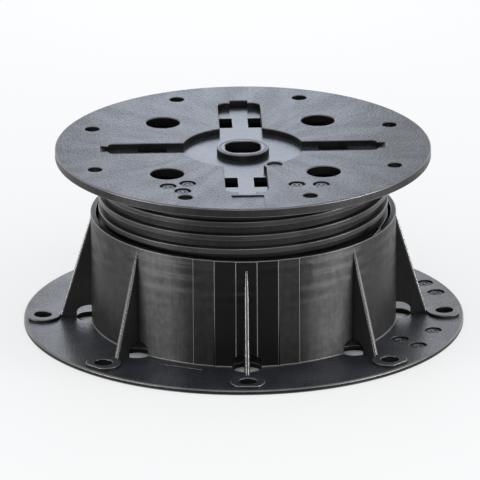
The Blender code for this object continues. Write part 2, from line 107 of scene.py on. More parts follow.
class Wire:
    """One socket of a node tree, whose arithmetic adds Math nodes."""

    def __init__(self, graph: "Graph", socket: bpy.types.NodeSocket) -> None:
        """Hold a socket.

        Args:
            graph: The tree that the socket is in.
            socket: The output socket.
        """
        self.graph = graph
        self.socket = socket

    def maths(self, operation: str, first: "Wire | float", second: "Wire | float" = 0.0) -> "Wire":
        """Add a Math node.

        Args:
            operation: Name of the Math node's operation.
            first: First value.
            second: Second value, which some operations don't use.

        Returns:
            The result's socket.
        """
        return self.graph.node("ShaderNodeMath", {"operation": operation}, {0: first, 1: second})

    def __add__(self, other: "Wire | float") -> "Wire":
        """Add a value to this one."""
        return self.maths("ADD", self, other)

    def __radd__(self, other: float) -> "Wire":
        """Add this one to a number."""
        return self.maths("ADD", other, self)

    def __sub__(self, other: "Wire | float") -> "Wire":
        """Take a value from this one."""
        return self.maths("SUBTRACT", self, other)

    def __rsub__(self, other: float) -> "Wire":
        """Take this one from a number."""
        return self.maths("SUBTRACT", other, self)

    def __mul__(self, other: "Wire | float") -> "Wire":
        """Multiply this one by a value."""
        return self.maths("MULTIPLY", self, other)

    def __rmul__(self, other: float) -> "Wire":
        """Multiply a number by this one."""
        return self.maths("MULTIPLY", other, self)

    def blended(self, other: "Wire", share: float) -> "Wire":
        """Mix in a share of another value."""
        return self * (1.0 - share) + other * share

    def swing(self, amount: float) -> "Wire":
        """Turn a noise, which lies about 0.5, into a change of about 0."""
        return (self - 0.5) * amount

    def waves(self) -> "Wire":
        """Turn an angle in radians into a wave between 0 and 1."""
        return self.maths("SINE", self) * 0.5 + 0.5

    def between(self, low: float, high: float) -> "Wire":
        """Ease from 0 at the low value to 1 at the high one.

        Args:
            low: The value that gives 0.
            high: The value that gives 1.

        Returns:
            The eased socket.
        """
        kind = {"interpolation_type": "SMOOTHSTEP"}
        limits = {"Value": self, "From Min": low, "From Max": high}
        return self.graph.node("ShaderNodeMapRange", kind, limits)


class Graph:
    """The node tree of a material or of the world."""

    def __init__(self, owner: "bpy.types.Material | bpy.types.World") -> None:
        """Turn the owner's nodes on.

        Args:
            owner: The material or the world.
        """
        owner.use_nodes = True
        self.tree = owner.node_tree
        self.shader = self.tree.nodes.get("Principled BSDF")

    def node(
        self, kind: str, settings: Mapping[str, Any] | None = None,
        inputs: Mapping[str | int, Any] | None = None, output: str | int = 0,
    ) -> Wire:
        """Add a node.

        Args:
            kind: Type of the node.
            settings: The node's own settings, set first.
            inputs: Values or wires by the name or number of the socket.
            output: Name or number of the socket that is returned.

        Returns:
            The asked output.
        """
        made = self.tree.nodes.new(kind)
        for name, value in (settings or {}).items():
            setattr(made, name, value)
        for name, value in (inputs or {}).items():
            if isinstance(value, Wire):
                self.tree.links.new(value.socket, made.inputs[name])
            else:
                made.inputs[name].default_value = value
        return Wire(self, made.outputs[output])

    def place(self) -> Wire:
        """Give the point on the piece, in metres in the model's frame."""
        return self.node("ShaderNodeTexCoord", output="Object")

    def part(self, place: Wire, axis: str) -> Wire:
        """Give a point's distance along one axis."""
        return self.node("ShaderNodeSeparateXYZ", None, {"Vector": place}, axis)

    def turn(self, place: Wire) -> Wire:
        """Give the angle about the axis in radians, from -pi to pi, with 0 at +X."""
        across, along = self.part(place, "X"), self.part(place, "Y")
        return across.maths("ARCTAN2", along, across)

    def turn_from_front(self, place: Wire) -> Wire:
        """Work out how far a point lies round from the front rib.

        Args:
            place: The point.

        Returns:
            The angle in degrees, up to 180.
        """
        turned = self.turn(self.node(
            "ShaderNodeVectorRotate", {"rotation_type": "Z_AXIS"},
            {"Vector": place, "Angle": math.radians(-FRONT)},
        ))
        return turned.maths("ABSOLUTE", turned) * math.degrees(1.0)

    def vector(self, operation: str, *values: "Wire | Colour", output: str = "Vector") -> Wire:
        """Add a Vector Math node.

        Args:
            operation: Name of the node's operation.
            *values: What its sockets take, in their order.
            output: Name of the socket that is returned.

        Returns:
            The result's socket.
        """
        return self.node("ShaderNodeVectorMath", {"operation": operation}, dict(enumerate(values)), output)

    def rays(self, place: Wire, slide: float = 8.0) -> Wire:
        """Give a point that changes fast round the axis and slowly along a radius.

        Args:
            place: The point.
            slide: How much it changes in a metre of radius.

        Returns:
            The point that streaks running out from the axis are read at.
        """
        flat = self.vector("MULTIPLY", place, (1.0, 1.0, 0.0))
        return self.vector("MULTIPLY_ADD", flat, (slide,) * 3, self.vector("NORMALIZE", flat))

    def noise(self, place: Wire, scale: float, detail: float, distortion: float = 0.0) -> Wire:
        """Add a Noise texture.

        Args:
            place: The point that it is read at.
            scale: Features in a metre.
            detail: Octaves.
            distortion: How far the features are dragged.

        Returns:
            The noise, about 0.5 on average.
        """
        values = {"Vector": place, "Scale": scale, "Detail": detail, "Distortion": distortion}
        return self.node("ShaderNodeTexNoise", None, values, "Fac")

    def tint(self, dark: Colour, light: "Colour | Wire", mask: Wire) -> Wire:
        """Mix two colours.

        Args:
            dark: Colour where the mask is 0.
            light: Colour where the mask is 1.
            mask: The mask.

        Returns:
            The mixed colour.
        """
        upper = light if isinstance(light, Wire) else (*light, 1.0)
        inputs = {MIX_FACTOR: mask, MIX_FIRST: (*dark, 1.0), MIX_SECOND: upper}
        return self.node("ShaderNodeMix", {"data_type": "RGBA"}, inputs, MIX_RESULT)

    def seen(self) -> Wire:
        """Give 1 on rays from the camera and on those that gloss or glass sends on."""
        seen = self.node("ShaderNodeLightPath", output="Is Camera Ray")
        for kind in ("Is Glossy Ray", "Is Transmission Ray"):
            seen = seen.maths("MAXIMUM", seen, self.node("ShaderNodeLightPath", output=kind))
        return seen

    def end(self, shader: Wire) -> None:
        """Link a shader to the tree's output."""
        self.tree.links.new(shader.socket, self.tree.get_output_node("ALL").inputs["Surface"])

    def feed(self, socket: str, value: Wire) -> None:
        """Link a value to the shader.

        Args:
            socket: Name of the shader's socket.
            value: What feeds it.
        """
        self.tree.links.new(value.socket, self.shader.inputs[socket])


class Grain(Enum):
    """Which way fine streaks run, as the scale of the noise along X, Y and Z."""

    UPWARD = (1.0, 1.0, 0.05)
    AROUND = (0.05, 0.05, 1.0)


@dataclass(frozen=True)
class MouldedPlastic:
    """Black polypropylene as it comes out of one part of the mould, some with painted light or shade in its
    colour.
    """

    name: str
    dark: Colour
    light: Colour
    roughness: float
    specular: float = 0.20
    # The glossy skin: its weight, the share of it on dark patches, and its roughness.
    coat: float = 0.0
    coat_least: float = 0.4
    coat_roughness: float = 0.30
    # Wide soft patches.
    blotch_scale: float = 28.0
    blotch_roughness: float = 0.10
    blotch_drag: float = 0.6
    blotch_limits: Limits = (0.32, 0.68)
    # A leather-like speckle.
    mottle_scale: float = 380.0
    mottle: float = 0.0
    mottle_height: float = 0.0
    mottle_limits: Limits = (0.42, 0.58)
    mottle_gloss: float = 0.5
    # Pale streaks along the flow of the melt, out from the axis.
    flow: float = 0.0
    flow_scale: float = 5.0
    flow_limits: Limits = (0.36, 0.64)
    # Fine lines that the mould or the lathe left.
    streaks: float = 0.0
    streak_scale: float = 700.0
    streak_limits: Limits = (0.3, 0.7)
    streak_share: float = 0.2
    streak_height: float = 0.0001
    run: Grain = Grain.UPWARD
    # The finest grain.
    grain_scale: float = 1500.0
    grain_height: float = 0.00002
    grain_share: float = 0.3
    grain_gloss: float = 0.10
    # In degrees from the front rib: painted shade on the front panels, a painted highlight beside them,
    # painted shade beyond.
    inner_panels: Limits = (11.9, 12.3)
    painted_glow: Limits = (19.5, 31.0)
    painted_dulling: Limits = (36.0, 50.0)
    painted_glow_share: float = 0.75
    painted_dullness: float = 0.60
    painted_panel_shade: Colour | None = None
    panel_gloss: float = 0.12
    # Shallow bands on the cup, and the heights between which they come and go.
    sink_bands: float = 0.0
    band_pitch: float = 0.0065
    band_phase: float = 2.54
    band_start: Limits = (0.022, 0.048)
    band_end: Limits = (0.0485, 0.0535)
    band_patch_scale: float = 60.0
    band_patches: Limits = (0.30, 0.62)

    def material(self) -> bpy.types.Material:
        """Build the material.

        Returns:
            The material, with its colour, gloss and surface worked out from nodes.
        """
        made = bpy.data.materials.new(self.name)
        graph = Graph(made)
        place = graph.place()
        blotches = graph.noise(place, self.blotch_scale, RICH, self.blotch_drag)
        grain = graph.noise(place, self.grain_scale, PLAIN)
        patches = blotches.between(*self.blotch_limits).blended(grain, self.grain_share)
        gloss = self.roughness + blotches.swing(self.blotch_roughness) + grain.swing(self.grain_gloss)
        height = grain * self.grain_height
        if self.mottle:
            spots = graph.noise(place, self.mottle_scale, RICH)
            patches = patches.blended(spots.between(*self.mottle_limits), self.mottle)
            gloss = gloss + spots.swing(self.mottle_gloss * self.mottle)
            height = height + spots * self.mottle_height
        if self.flow:
            marks = graph.noise(graph.rays(place), self.flow_scale, RICH)
            patches = patches.blended(marks.between(*self.flow_limits), self.flow)
        if self.streaks:
            lines = graph.noise(graph.vector("MULTIPLY", place, self.run.value), self.streak_scale, PLAIN)
            patches = patches.blended(lines.between(*self.streak_limits), self.streak_share)
            gloss = gloss + lines.swing(self.streaks)
            height = height + lines * (self.streaks * self.streak_height)
        if self.sink_bands:
            height = height + self.sinks(graph, place)
        colour = graph.tint(self.dark, self.light, patches)
        skin = patches * (1.0 - self.coat_least) + self.coat_least if self.coat else None
        # Colour with painted shade on the front panels and a painted highlight beside them; side is 1 at the
        # highlight.
        if self.painted_panel_shade:
            angle = graph.turn_from_front(place)
            side = angle.between(*self.inner_panels).blended(angle.between(*self.painted_glow), self.painted_glow_share)
            side = side * (1.0 - angle.between(*self.painted_dulling) * self.painted_dullness)
            colour = graph.tint(self.painted_panel_shade, colour, side)
            gloss = gloss - (1.0 - side) * self.panel_gloss
            skin = skin and skin * side
        graph.feed("Base Color", colour)
        graph.feed("Roughness", gloss)
        if skin:
            graph.feed("Coat Weight", skin * self.coat)
            graph.shader.inputs["Coat Roughness"].default_value = self.coat_roughness
        bump = graph.node("ShaderNodeBump", None, {"Height": height, "Distance": 1.0, "Strength": 1.0})
        graph.feed("Normal", bump)
        graph.shader.inputs["Specular IOR Level"].default_value = self.specular
        return made

    def sinks(self, graph: Graph, place: Wire) -> Wire:
        """Work out the shallow bands that the thread inside leaves on the wall.

        Args:
            graph: The material's tree.
            place: The point on the piece.

        Returns:
            The height of the surface, in metres.
        """
        up = graph.part(place, "Z")
        wave = (up * (math.tau / self.band_pitch) - graph.turn(place) + self.band_phase).waves()
        threaded = up.between(*self.band_start) * (1.0 - up.between(*self.band_end))
        patchy = graph.noise(place, self.band_patch_scale, PLAIN).between(*self.band_patches)
        return wave * threaded * patchy * self.sink_bands


# Its bluish tint is painted light, standing in for the bluish light that falls on up-facing faces from above.
SATIN_TOP = MouldedPlastic(
    "satin_top", (0.003, 0.004, 0.006), (0.030, 0.035, 0.049), 0.38, specular=0.12, coat=0.48,
    coat_least=0.05, blotch_scale=26.0, blotch_roughness=0.24, mottle_scale=900.0, mottle=0.62,
    mottle_height=0.00034, flow=0.25,
)
# Its bluish tint is painted light, standing in for the bluish light that falls on up-facing faces from above.
SMOOTH_RECESS = MouldedPlastic(
    "smooth_recess", (0.010, 0.012, 0.016), (0.032, 0.037, 0.048), 0.24, specular=0.17,
    blotch_scale=36.0, blotch_roughness=0.16, mottle=0.15, mottle_height=0.00002, grain_height=0.000003,
)
# Its bluish tint is painted light, standing in for the bluish light that falls on up-facing faces from above.
SATIN_FLANGE = MouldedPlastic(
    "satin_flange", (0.007, 0.008, 0.010), (0.046, 0.051, 0.064), 0.40, coat=0.70, coat_least=0.2,
    blotch_scale=30.0, blotch_roughness=0.20, mottle_scale=800.0, mottle=0.45, mottle_height=0.00032,
    flow=0.15,
)
TURNED_THREAD = MouldedPlastic(
    "turned_thread", (0.003, 0.003, 0.003), (0.018, 0.017, 0.016), 0.34, specular=0.16, coat=0.30,
    streaks=0.25, streak_scale=1100.0, run=Grain.AROUND,
)
# The cup's wall, with painted shade on its front panels and a painted highlight on the wall beside them.
DRAWN_WALL = MouldedPlastic(
    "drawn_wall", (0.005, 0.005, 0.005), (0.020, 0.020, 0.020), 0.45, specular=0.08, coat=1.0,
    coat_roughness=0.50, mottle=0.25, streaks=0.05, sink_bands=0.00090, painted_panel_shade=(0.003, 0.003, 0.003),
)
DRAWN_RIB = MouldedPlastic(
    "drawn_rib", (0.003, 0.003, 0.003), (0.010, 0.010, 0.010), 0.36, specular=0.12, streaks=0.08,
)
RIB_EDGE = MouldedPlastic(
    "rib_edge", (0.008, 0.008, 0.008), (0.022, 0.022, 0.022), 0.32, specular=0.20, coat=0.15, streaks=0.10,
)
DARK_SIDE = MouldedPlastic(
    "dark_side", (0.003, 0.003, 0.003), (0.015, 0.014, 0.013), 0.36, specular=0.13, coat=0.20, streaks=0.25,
)
# Painted shade: a darker, duller copy of the side plastic for the thread's roots, the flange's edges and
# sides, and the cup's rim.
PAINTED_SHADE_SIDE = MouldedPlastic(
    "painted_shade_side", (0.003, 0.003, 0.003), (0.010, 0.010, 0.010), 0.38, specular=0.08, coat=0.10, streaks=0.15,
)
RIB_NOSE = MouldedPlastic(
    "rib_nose", (0.006, 0.006, 0.006), (0.018, 0.018, 0.018), 0.26, specular=0.45, coat=0.65, coat_least=0.7,
    coat_roughness=0.24, grain_height=0.000001,
)
# Rounded edges: a lighter colour is painted on them as a highlight line, on top of their real gloss.
PAINTED_HIGHLIGHT_EDGE = MouldedPlastic(
    "painted_highlight_edge", (0.034, 0.034, 0.036), (0.062, 0.062, 0.065), 0.34, specular=0.50, coat=0.7,
    grain_height=0.000001,
)
# The thread's rounded crests: a lighter colour is painted on them as highlight lines, along with the turned
# streaks.
PAINTED_HIGHLIGHT_THREAD_EDGE = MouldedPlastic(
    "painted_highlight_thread_edge", (0.018, 0.018, 0.018), (0.055, 0.054, 0.052), 0.26, specular=0.50, coat=0.8, streaks=0.20,
    streak_scale=1100.0, run=Grain.AROUND,
)


class Finish(Enum):
    """The plastics of a piece's flats, rounded edges and sides, in the order of Face."""

    TOP = (SATIN_TOP, PAINTED_HIGHLIGHT_EDGE, DARK_SIDE)
    RAMP = (SATIN_TOP, SATIN_TOP, SATIN_TOP)
    RECESS = (SMOOTH_RECESS, PAINTED_HIGHLIGHT_EDGE, DARK_SIDE)
    FLANGE = (SATIN_FLANGE, PAINTED_HIGHLIGHT_EDGE, PAINTED_SHADE_SIDE)
    WALL = (PAINTED_SHADE_SIDE, PAINTED_HIGHLIGHT_EDGE, DRAWN_WALL)
    RIB = (DRAWN_RIB, RIB_NOSE, RIB_EDGE)
    THREAD = (TURNED_THREAD, PAINTED_HIGHLIGHT_THREAD_EDGE, TURNED_THREAD)
    GROOVE = (PAINTED_SHADE_SIDE, PAINTED_HIGHLIGHT_THREAD_EDGE, PAINTED_SHADE_SIDE)


def quarter(steps: int) -> list[float]:
    """List the angles of a quarter turn in equal steps, in radians."""
    return [math.radians(90.0 * step / steps) for step in range(steps + 1)]


def raised(point: Vector, height: float) -> Vector:
    """Lift a flat point to a height."""
    return Vector((point.x, point.y, height))


def placed(name: str, data: bpy.types.ID) -> bpy.types.Object:
    """Add an object to the scene.

    Args:
        name: Its name.
        data: Its mesh, lamp or camera.

    Returns:
        The object.
    """
    made = bpy.data.objects.new(name, data)
    bpy.context.scene.collection.objects.link(made)
    return made


def spoke(radius: float, degrees: float) -> Vector:
    """Give the flat point at a radius and an angle about Z."""
    angle = math.radians(degrees)
    return Vector((radius * math.cos(angle), radius * math.sin(angle)))


def arc(centre: Iterable[float], radius: float, start: float, end: float, steps: int) -> list[Vector]:
    """List the points of an arc.

    Args:
        centre: Its centre.
        radius: Its radius.
        start: First angle in degrees.
        end: Last angle in degrees.
        steps: Number of straight sides.

    Returns:
        The points, both ends among them.
    """
    middle = Vector(tuple(centre))
    return [middle + spoke(radius, start + (end - start) * step / steps) for step in range(steps + 1)]


def rectangle(low: Iterable[float], high: Iterable[float]) -> list[Vector]:
    """Draw a rectangle between its lower left and upper right corners."""
    (left, near), (right, far) = low, high
    return [Vector((left, near)), Vector((right, near)), Vector((right, far)), Vector((left, far))]


def kept_clear(points: Sequence[Vector], centre: Vector, radius: float, steps: int = 24) -> list[Vector]:
    """Bend an outline round a circle that it runs into, once.

    Args:
        points: The outline's corners, counter-clockwise.
        centre: The circle's centre.
        radius: The circle's radius.
        steps: Straight sides of the bend.

    Returns:
        The outline with the circle left outside it.
    """
    outside = [(point - centre).length > radius for point in points]
    count = len(points)
    leaves = next(number for number in range(count) if outside[number] and not outside[(number + 1) % count])
    returns = next(number for number in range(count) if not outside[number] and outside[(number + 1) % count])
    ends = []
    for first in (leaves, returns):
        start, along = points[first] - centre, points[(first + 1) % count] - points[first]
        square, cross, rest = along.length_squared, start.dot(along), start.length_squared - radius * radius
        root = math.sqrt(cross * cross - square * rest)
        share = (-cross - root) / square if first == leaves else (-cross + root) / square
        ends.append(math.degrees(math.atan2(*(start + along * share).yx)))
    bend = arc(centre, radius, ends[0], ends[0] - (ends[0] - ends[1]) % 360.0, steps)
    kept = [points[(returns + 1 + number) % count] for number in range((leaves - returns) % count)]
    return kept + bend


@dataclass(frozen=True)
class Outline:
    """A closed flat outline that has the plastic on its left, so that a hole runs clockwise."""

    points: tuple[Vector, ...]
    along_radii: bool = False

    @classmethod
    def around(cls, points: Sequence[Vector], hole: bool = False, along_radii: bool = False) -> "Outline":
        """Wind points the right way.

        Args:
            points: The corners in order.
            hole: Whether the plastic lies outside them.
            along_radii: Whether the points shift towards the axis and not square to the sides.

        Returns:
            The outline.
        """
        area = sum(points[number - 1].cross(point) for number, point in enumerate(points))
        wound = list(points) if (area > 0.0) != hole else list(reversed(points))
        return cls(tuple(wound), along_radii)

    @classmethod
    def circle(
        cls, radius: float, centre: Iterable[float] = (0.0, 0.0), steps: int = HOLE_SIDES, hole: bool = False,
    ) -> "Outline":
        """Draw a circle.

        Args:
            radius: Its radius.
            centre: Its centre.
            steps: Number of sides.
            hole: Whether the plastic lies outside it.

        Returns:
            The outline.
        """
        return cls.around(arc(centre, radius, 0.0, 360.0, steps)[:-1], hole)

    def creases(self) -> set[int]:
        """Find the corners, and the points where a long side meets the short ones of a round."""
        sides = [point - self.points[number - 1] for number, point in enumerate(self.points)]
        found = set()
        for number, (side, after) in enumerate(zip(sides, sides[1:] + sides[:1])):
            bend = abs(side.angle_signed(after))
            short, long = sorted((side.length, after.length))
            if bend > HARD_BEND or (long > LONGER * short and bend > SLIGHT_BEND / 2):
                found.add(number)
        return found

    def steps_out(self, number: int) -> bool:
        """Say whether the side that ends at a point is the side of a step in a round wall."""
        return self.along_radii and abs(self.points[number].length - self.points[number - 1].length) > STEP

    def moved_in(self, depth: float) -> list[Vector]:
        """Shift every side into the plastic, with mitred corners.

        Args:
            depth: How far, in metres.

        Returns:
            The shifted points.
        """
        if self.along_radii:
            return [point * (1.0 - depth / point.length) for point in self.points]
        moved = []
        for number, point in enumerate(self.points):
            before = (point - self.points[number - 1]).normalized()
            after = (self.points[(number + 1) % len(self.points)] - point).normalized()
            left = Vector((-before.y, before.x))
            mitre = (left + Vector((-after.y, after.x))) / (1.0 + before.dot(after))
            moved.append(point + mitre * depth)
        return moved


def rounded(
    bottom: float, top: float, lower: float, upper: float, shift: float = 0.0, steps: int = 3,
) -> Profile:
    """Draw a wall's section with rounded edges, from its foot up.

    Args:
        bottom: Height of the foot.
        top: Height of the top.
        lower: Radius of the lower edge, or 0.
        upper: Radius of the upper edge, or 0.
        shift: How far the whole wall lies inside its outline.
        steps: Straight sides of each rounded edge.

    Returns:
        Points as (depth inside the outline, height).
    """
    turns = quarter(steps)
    foot = [(lower * (1.0 - math.sin(turn)), bottom + lower * (1.0 - math.cos(turn))) for turn in turns]
    head = [(upper * (1.0 - math.cos(turn)), top - upper + upper * math.sin(turn)) for turn in turns]
    section = (foot if lower else foot[-1:]) + (head if upper else head[-1:])
    return [(depth + shift, height) for depth, height in section]


def creases_of(section: Sequence[Vector], closed: bool) -> set[int]:
    """Find the points of a section where the shading breaks.

    Args:
        section: The section's points.
        closed: Whether its last point joins its first.

    Returns:
        Their numbers.
    """
    creases = set()
    count = len(section)
    for number in range(count):
        if not closed and number in (0, count - 1):
            creases.add(number)
            continue
        before = section[number] - section[number - 1]
        after = section[(number + 1) % count] - section[number]
        if not before.length or not after.length:
            continue
        bend = abs(before.angle_signed(after))
        straight = max(before.length, after.length) > STRAIGHT_RUN
        if bend > HARD_BEND or (straight and bend > SLIGHT_BEND):
            creases.add(number)
    return creases


def kinds_of(section: Sequence[tuple[float, float]], closed: bool) -> list[Face]:
    """Say what kind of face each side of a section gives.

    Args:
        section: The section's points, as (depth or radius, height).
        closed: Whether its last point joins its first.

    Returns:
        The kind of the side that ends at each point, which for an open section's first is unused.
    """
    kinds = []
    for number, (depth, height) in enumerate(section):
        depth_before, height_before = section[number - 1]
        run, rise = abs(depth - depth_before), abs(height - height_before)
        if rise < WELD and (closed or number):
            kinds.append(Face.FLAT)
        elif run < WELD or math.hypot(run, rise) > STRAIGHT_RUN:
            kinds.append(Face.SIDE)
        else:
            kinds.append(Face.EDGE)
    return kinds


def encloses(rim: Sequence[Vector], point: Vector) -> bool:
    """Say whether a point lies inside a closed rim, both seen from above.

    Args:
        rim: The rim's corners.
        point: The point.

    Returns:
        Whether a line from the point to the far left crosses the rim an odd number of times.
    """
    inside = False
    for number, corner in enumerate(rim):
        before = rim[number - 1]
        if (corner.y > point.y) != (before.y > point.y):
            share = (point.y - before.y) / (corner.y - before.y)
            inside ^= point.x > before.x + share * (corner.x - before.x)
    return inside


class Shell:
    """A mesh that is built ring by ring."""

    def __init__(self) -> None:
        """Start an empty mesh."""
        self.mesh = bmesh.new()

    def ring(self, points: Iterable[Vector]) -> list[bmesh.types.BMVert]:
        """Add the points of one ring."""
        return [self.mesh.verts.new(point) for point in points]

    def crease(self, first: bmesh.types.BMVert, second: bmesh.types.BMVert) -> None:
        """Break the shading along the edge between two points, if there is one.

        Args:
            first: One point.
            second: The other.
        """
        edge = self.mesh.edges.get((first, second))
        if edge:
            edge.smooth = False

    def skin(
        self, rings: Sequence[list], sharp: set[int], kind: Callable[[int, int], Face], around: bool = False,
    ) -> None:
        """Join closed rings with quads.

        Args:
            rings: The rings, each with the same number of points.
            sharp: Numbers of the points whose lines from ring to ring break the shading.
            kind: Gives a face's kind from the numbers of its later ring and its later point.
            around: Whether the last ring joins the first.
        """
        following = rings[1:] + (rings[:1] if around else [])
        for step, (ring, after) in enumerate(zip(rings, following), 1):
            for number in range(len(ring)):
                corners = (ring[number - 1], ring[number], after[number], after[number - 1])
                face = self.mesh.faces.new(tuple(dict.fromkeys(corners)))
                face.material_index = kind(step, number).value
            for number in sharp:
                self.crease(ring[number], after[number])

    def cap(self, loops: Sequence[list], up: bool) -> None:
        """Close one flat side.

        Args:
            loops: The outer ring, and those of the holes.
            up: Whether the side faces up.
        """
        corners = [vertex for loop in loops for vertex in loop]
        rims = [loop for loop in loops for _ in loop]
        sides = []
        for loop in loops:
            start = len(sides)
            sides += [(start + number, start + (number + 1) % len(loop)) for number in range(len(loop))]
        flat = [vertex.co.to_2d() for vertex in corners]
        found = delaunay_2d_cdt(flat, sides, [], INSIDE_THE_SIDES, WELD)
        own = [sources[0] for sources in found[3]]
        for triangle in found[2]:
            first, second, third = (own[number] for number in triangle)
            rim = rims[first]
            if rim is rims[second] and rim is rims[third] and rim is not loops[0]:
                middle = (flat[first] + flat[second] + flat[third]) / 3
                if encloses([vertex.co for vertex in rim], middle):
                    continue
            turn = (first, second, third) if up else (third, second, first)
            self.mesh.faces.new([corners[number] for number in turn])
        for loop in loops:
            for number, vertex in enumerate(loop):
                self.crease(loop[number - 1], vertex)

    def made(self, name: str) -> bpy.types.Object:
        """Turn the mesh into an object.

        Args:
            name: The piece's name.

        Returns:
            The object, shaded smooth between its creases.
        """
        for face in self.mesh.faces:
            face.smooth = True
        data = bpy.data.meshes.new(name)
        self.mesh.to_mesh(data)
        self.mesh.free()
        for _ in Face:
            data.materials.append(None)
        return placed(name, data)


def plate(name: str, walls: Sequence[tuple[Outline, Profile]]) -> bpy.types.Object:
    """Build a flat piece from its walls.

    Args:
        name: The piece's name.
        walls: The outer wall and those of the holes, each as outline and section. All the
            sections end at the same height. One that starts higher than the first is a pocket's.

    Returns:
        The piece.
    """
    shell = Shell()
    feet, tops = [], []
    for outline, section in walls:
        sharp = outline.creases()
        rings = [shell.ring(raised(point, height) for point in outline.moved_in(depth))
                 for depth, height in section]
        kinds = kinds_of(section, False)
        shell.skin(rings, sharp, lambda step, number: Face.EDGE if outline.steps_out(number) else kinds[step])
        for number in creases_of([Vector(point) for point in section], False):
            ring = rings[number]
            for corner, vertex in enumerate(ring):
                shell.crease(ring[corner - 1], vertex)
        if section[0][1] > walls[0][1][0][1] + WELD:
            shell.cap([rings[0]], True)
        else:
            feet.append(rings[0])
        tops.append(rings[-1])
    shell.cap(feet, False)
    shell.cap(tops, True)
    return shell.made(name)


def turned(name: str, section: Sequence[tuple[float, float]], steps: int = 256) -> bpy.types.Object:
    """Turn a closed section about Z.

    Args:
        name: The piece's name.
        section: Points as (radius, height), clockwise seen with the axis at the left.
        steps: Sides of the turned shape.

    Returns:
        The piece.
    """
    shell = Shell()
    points = [Vector(point) for point in section]
    rings = []
    for step in range(steps):
        spin = 360.0 * step / steps
        rings.append(shell.ring(raised(spoke(radius, spin), height) for radius, height in points))
    kinds = kinds_of(section, True)
    shell.skin(rings, creases_of(points, True), lambda step, number: kinds[number], around=True)
    bmesh.ops.recalc_face_normals(shell.mesh, faces=shell.mesh.faces)
    return shell.made(name)


def boolean(target: bpy.types.Object, cutter: bpy.types.Object) -> None:
    """Cut a shape out of a piece and delete the cutter.

    Args:
        target: The piece.
        cutter: The shape that is taken away.
    """
    modifier = target.modifiers.new("cut", "BOOLEAN")
    modifier.operation = "DIFFERENCE"
    modifier.solver = "EXACT"
    modifier.object = cutter
    bpy.context.view_layer.update()
    depsgraph = bpy.context.evaluated_depsgraph_get()
    cut = bpy.data.meshes.new_from_object(target.evaluated_get(depsgraph))
    target.modifiers.clear()
    target.data = cut
    bpy.data.objects.remove(cutter, do_unlink=True)
    shape = bmesh.new()
    shape.from_mesh(cut)
    for edge in shape.edges:
        if len(edge.link_faces) == 2 and edge.calc_face_angle(0.0) > HARD_BEND:
            edge.smooth = False
    shape.to_mesh(cut)
    shape.free()


@dataclass(frozen=True)
class Helix:
    """A right-handed, single-start thread."""

    pitch: float = 0.0065
    run_out: float = 0.08
    end_share: float = 0.05
    steps: int = 192

    def ridge(
        self, name: str, section: Sequence[tuple[float, float]], root: float, turns: int,
        foot: float, first: float,
    ) -> bpy.types.Object:
        """Sweep a ridge up the helix.

        Args:
            name: The piece's name.
            section: Closed section as (radius, height over the helix).
            root: Radius of the wall that the ridge stands on.
            turns: Number of turns.
            foot: Height at which the helix starts.
            first: Angle in degrees at which it starts.

        Returns:
            The ridge.
        """
        shell = Shell()
        points = [Vector(point) for point in section]
        rings = []
        for step in range(turns * self.steps + 1):
            along = step / self.steps
            share = min(1.0, min(along, turns - along) / self.run_out)
            share = max(self.end_share, share)
            lift = foot + along * self.pitch
            rings.append(shell.ring(
                raised(spoke(root + (radius - root) * share, first + 360.0 * along), lift + height)
                for radius, height in points
            ))
        kinds = kinds_of(section, True)
        shell.skin(rings, creases_of(points, True), lambda step, number: kinds[number])
        for ends in (rings[0], rings[-1]):
            shell.mesh.faces.new(ends)
            for number, vertex in enumerate(ends):
                shell.crease(ends[number - 1], vertex)
        bmesh.ops.recalc_face_normals(shell.mesh, faces=shell.mesh.faces)
        return shell.made(name)


def ridge_section(root: float, crest: float, crest_width: float, flank: float, edge: float) -> Profile:
    """Draw a thread ridge's section.

    Args:
        root: Radius of its sunken foot.
        crest: Radius of its crest.
        crest_width: Height of its crest.
        flank: Height of each flank.
        edge: Radius of the crest's edges.

    Returns:
        Closed section as (radius, height over the helix).
    """
    out = 1.0 if crest > root else -1.0
    half = crest_width / 2
    upper = arc((crest - out * edge, half - edge), edge, 0.0, 90.0, 3)
    if out < 0.0:
        upper = [Vector((2.0 * (crest - out * edge) - point.x, point.y)) for point in upper]
    lower = [Vector((point.x, -point.y)) for point in reversed(upper)]
    return [(root, -half - flank)] + [tuple(point) for point in lower + upper] + [(root, half + flank)]


@dataclass(frozen=True)
class DateDisc:
    """A round mark of the mould in its pocket: a sunken floor with a raised ring and a pip."""

    radius: float
    pocket: float
    floor_depth: float = 0.0008
    crown_depth: float = 0.0004
    ring: tuple[float, ...] = (0.66, 0.60, 0.50, 0.44)
    pip: tuple[float, ...] = (0.24, 0.18)
    bore: float = 0.0001
    below: float = 0.0001
    beyond: float = 0.0003

    def build(self, name: str, centre: Vector, top: float) -> bpy.types.Object:
        """Build the disc, which reaches a little into the pocket's floor and wall.

        Args:
            name: The piece's name.
            centre: Its centre.
            top: Height of the face that the pocket lies in.

        Returns:
            The disc.
        """
        bottom, floor, crown = (top - depth for depth in (
            self.pocket + self.below, self.floor_depth, self.crown_depth,
        ))
        edge = self.radius + self.beyond
        section = [(self.bore, bottom), (edge, bottom), (edge, floor)]
        heights = (floor, crown, crown, floor, floor, crown)
        section += [(self.radius * share, height) for share, height in zip(self.ring + self.pip, heights)]
        made = turned(name, [*section, (self.bore, crown)], DRAIN_SIDES)
        made.data.transform(Matrix.Translation(centre.to_3d()))
        return made


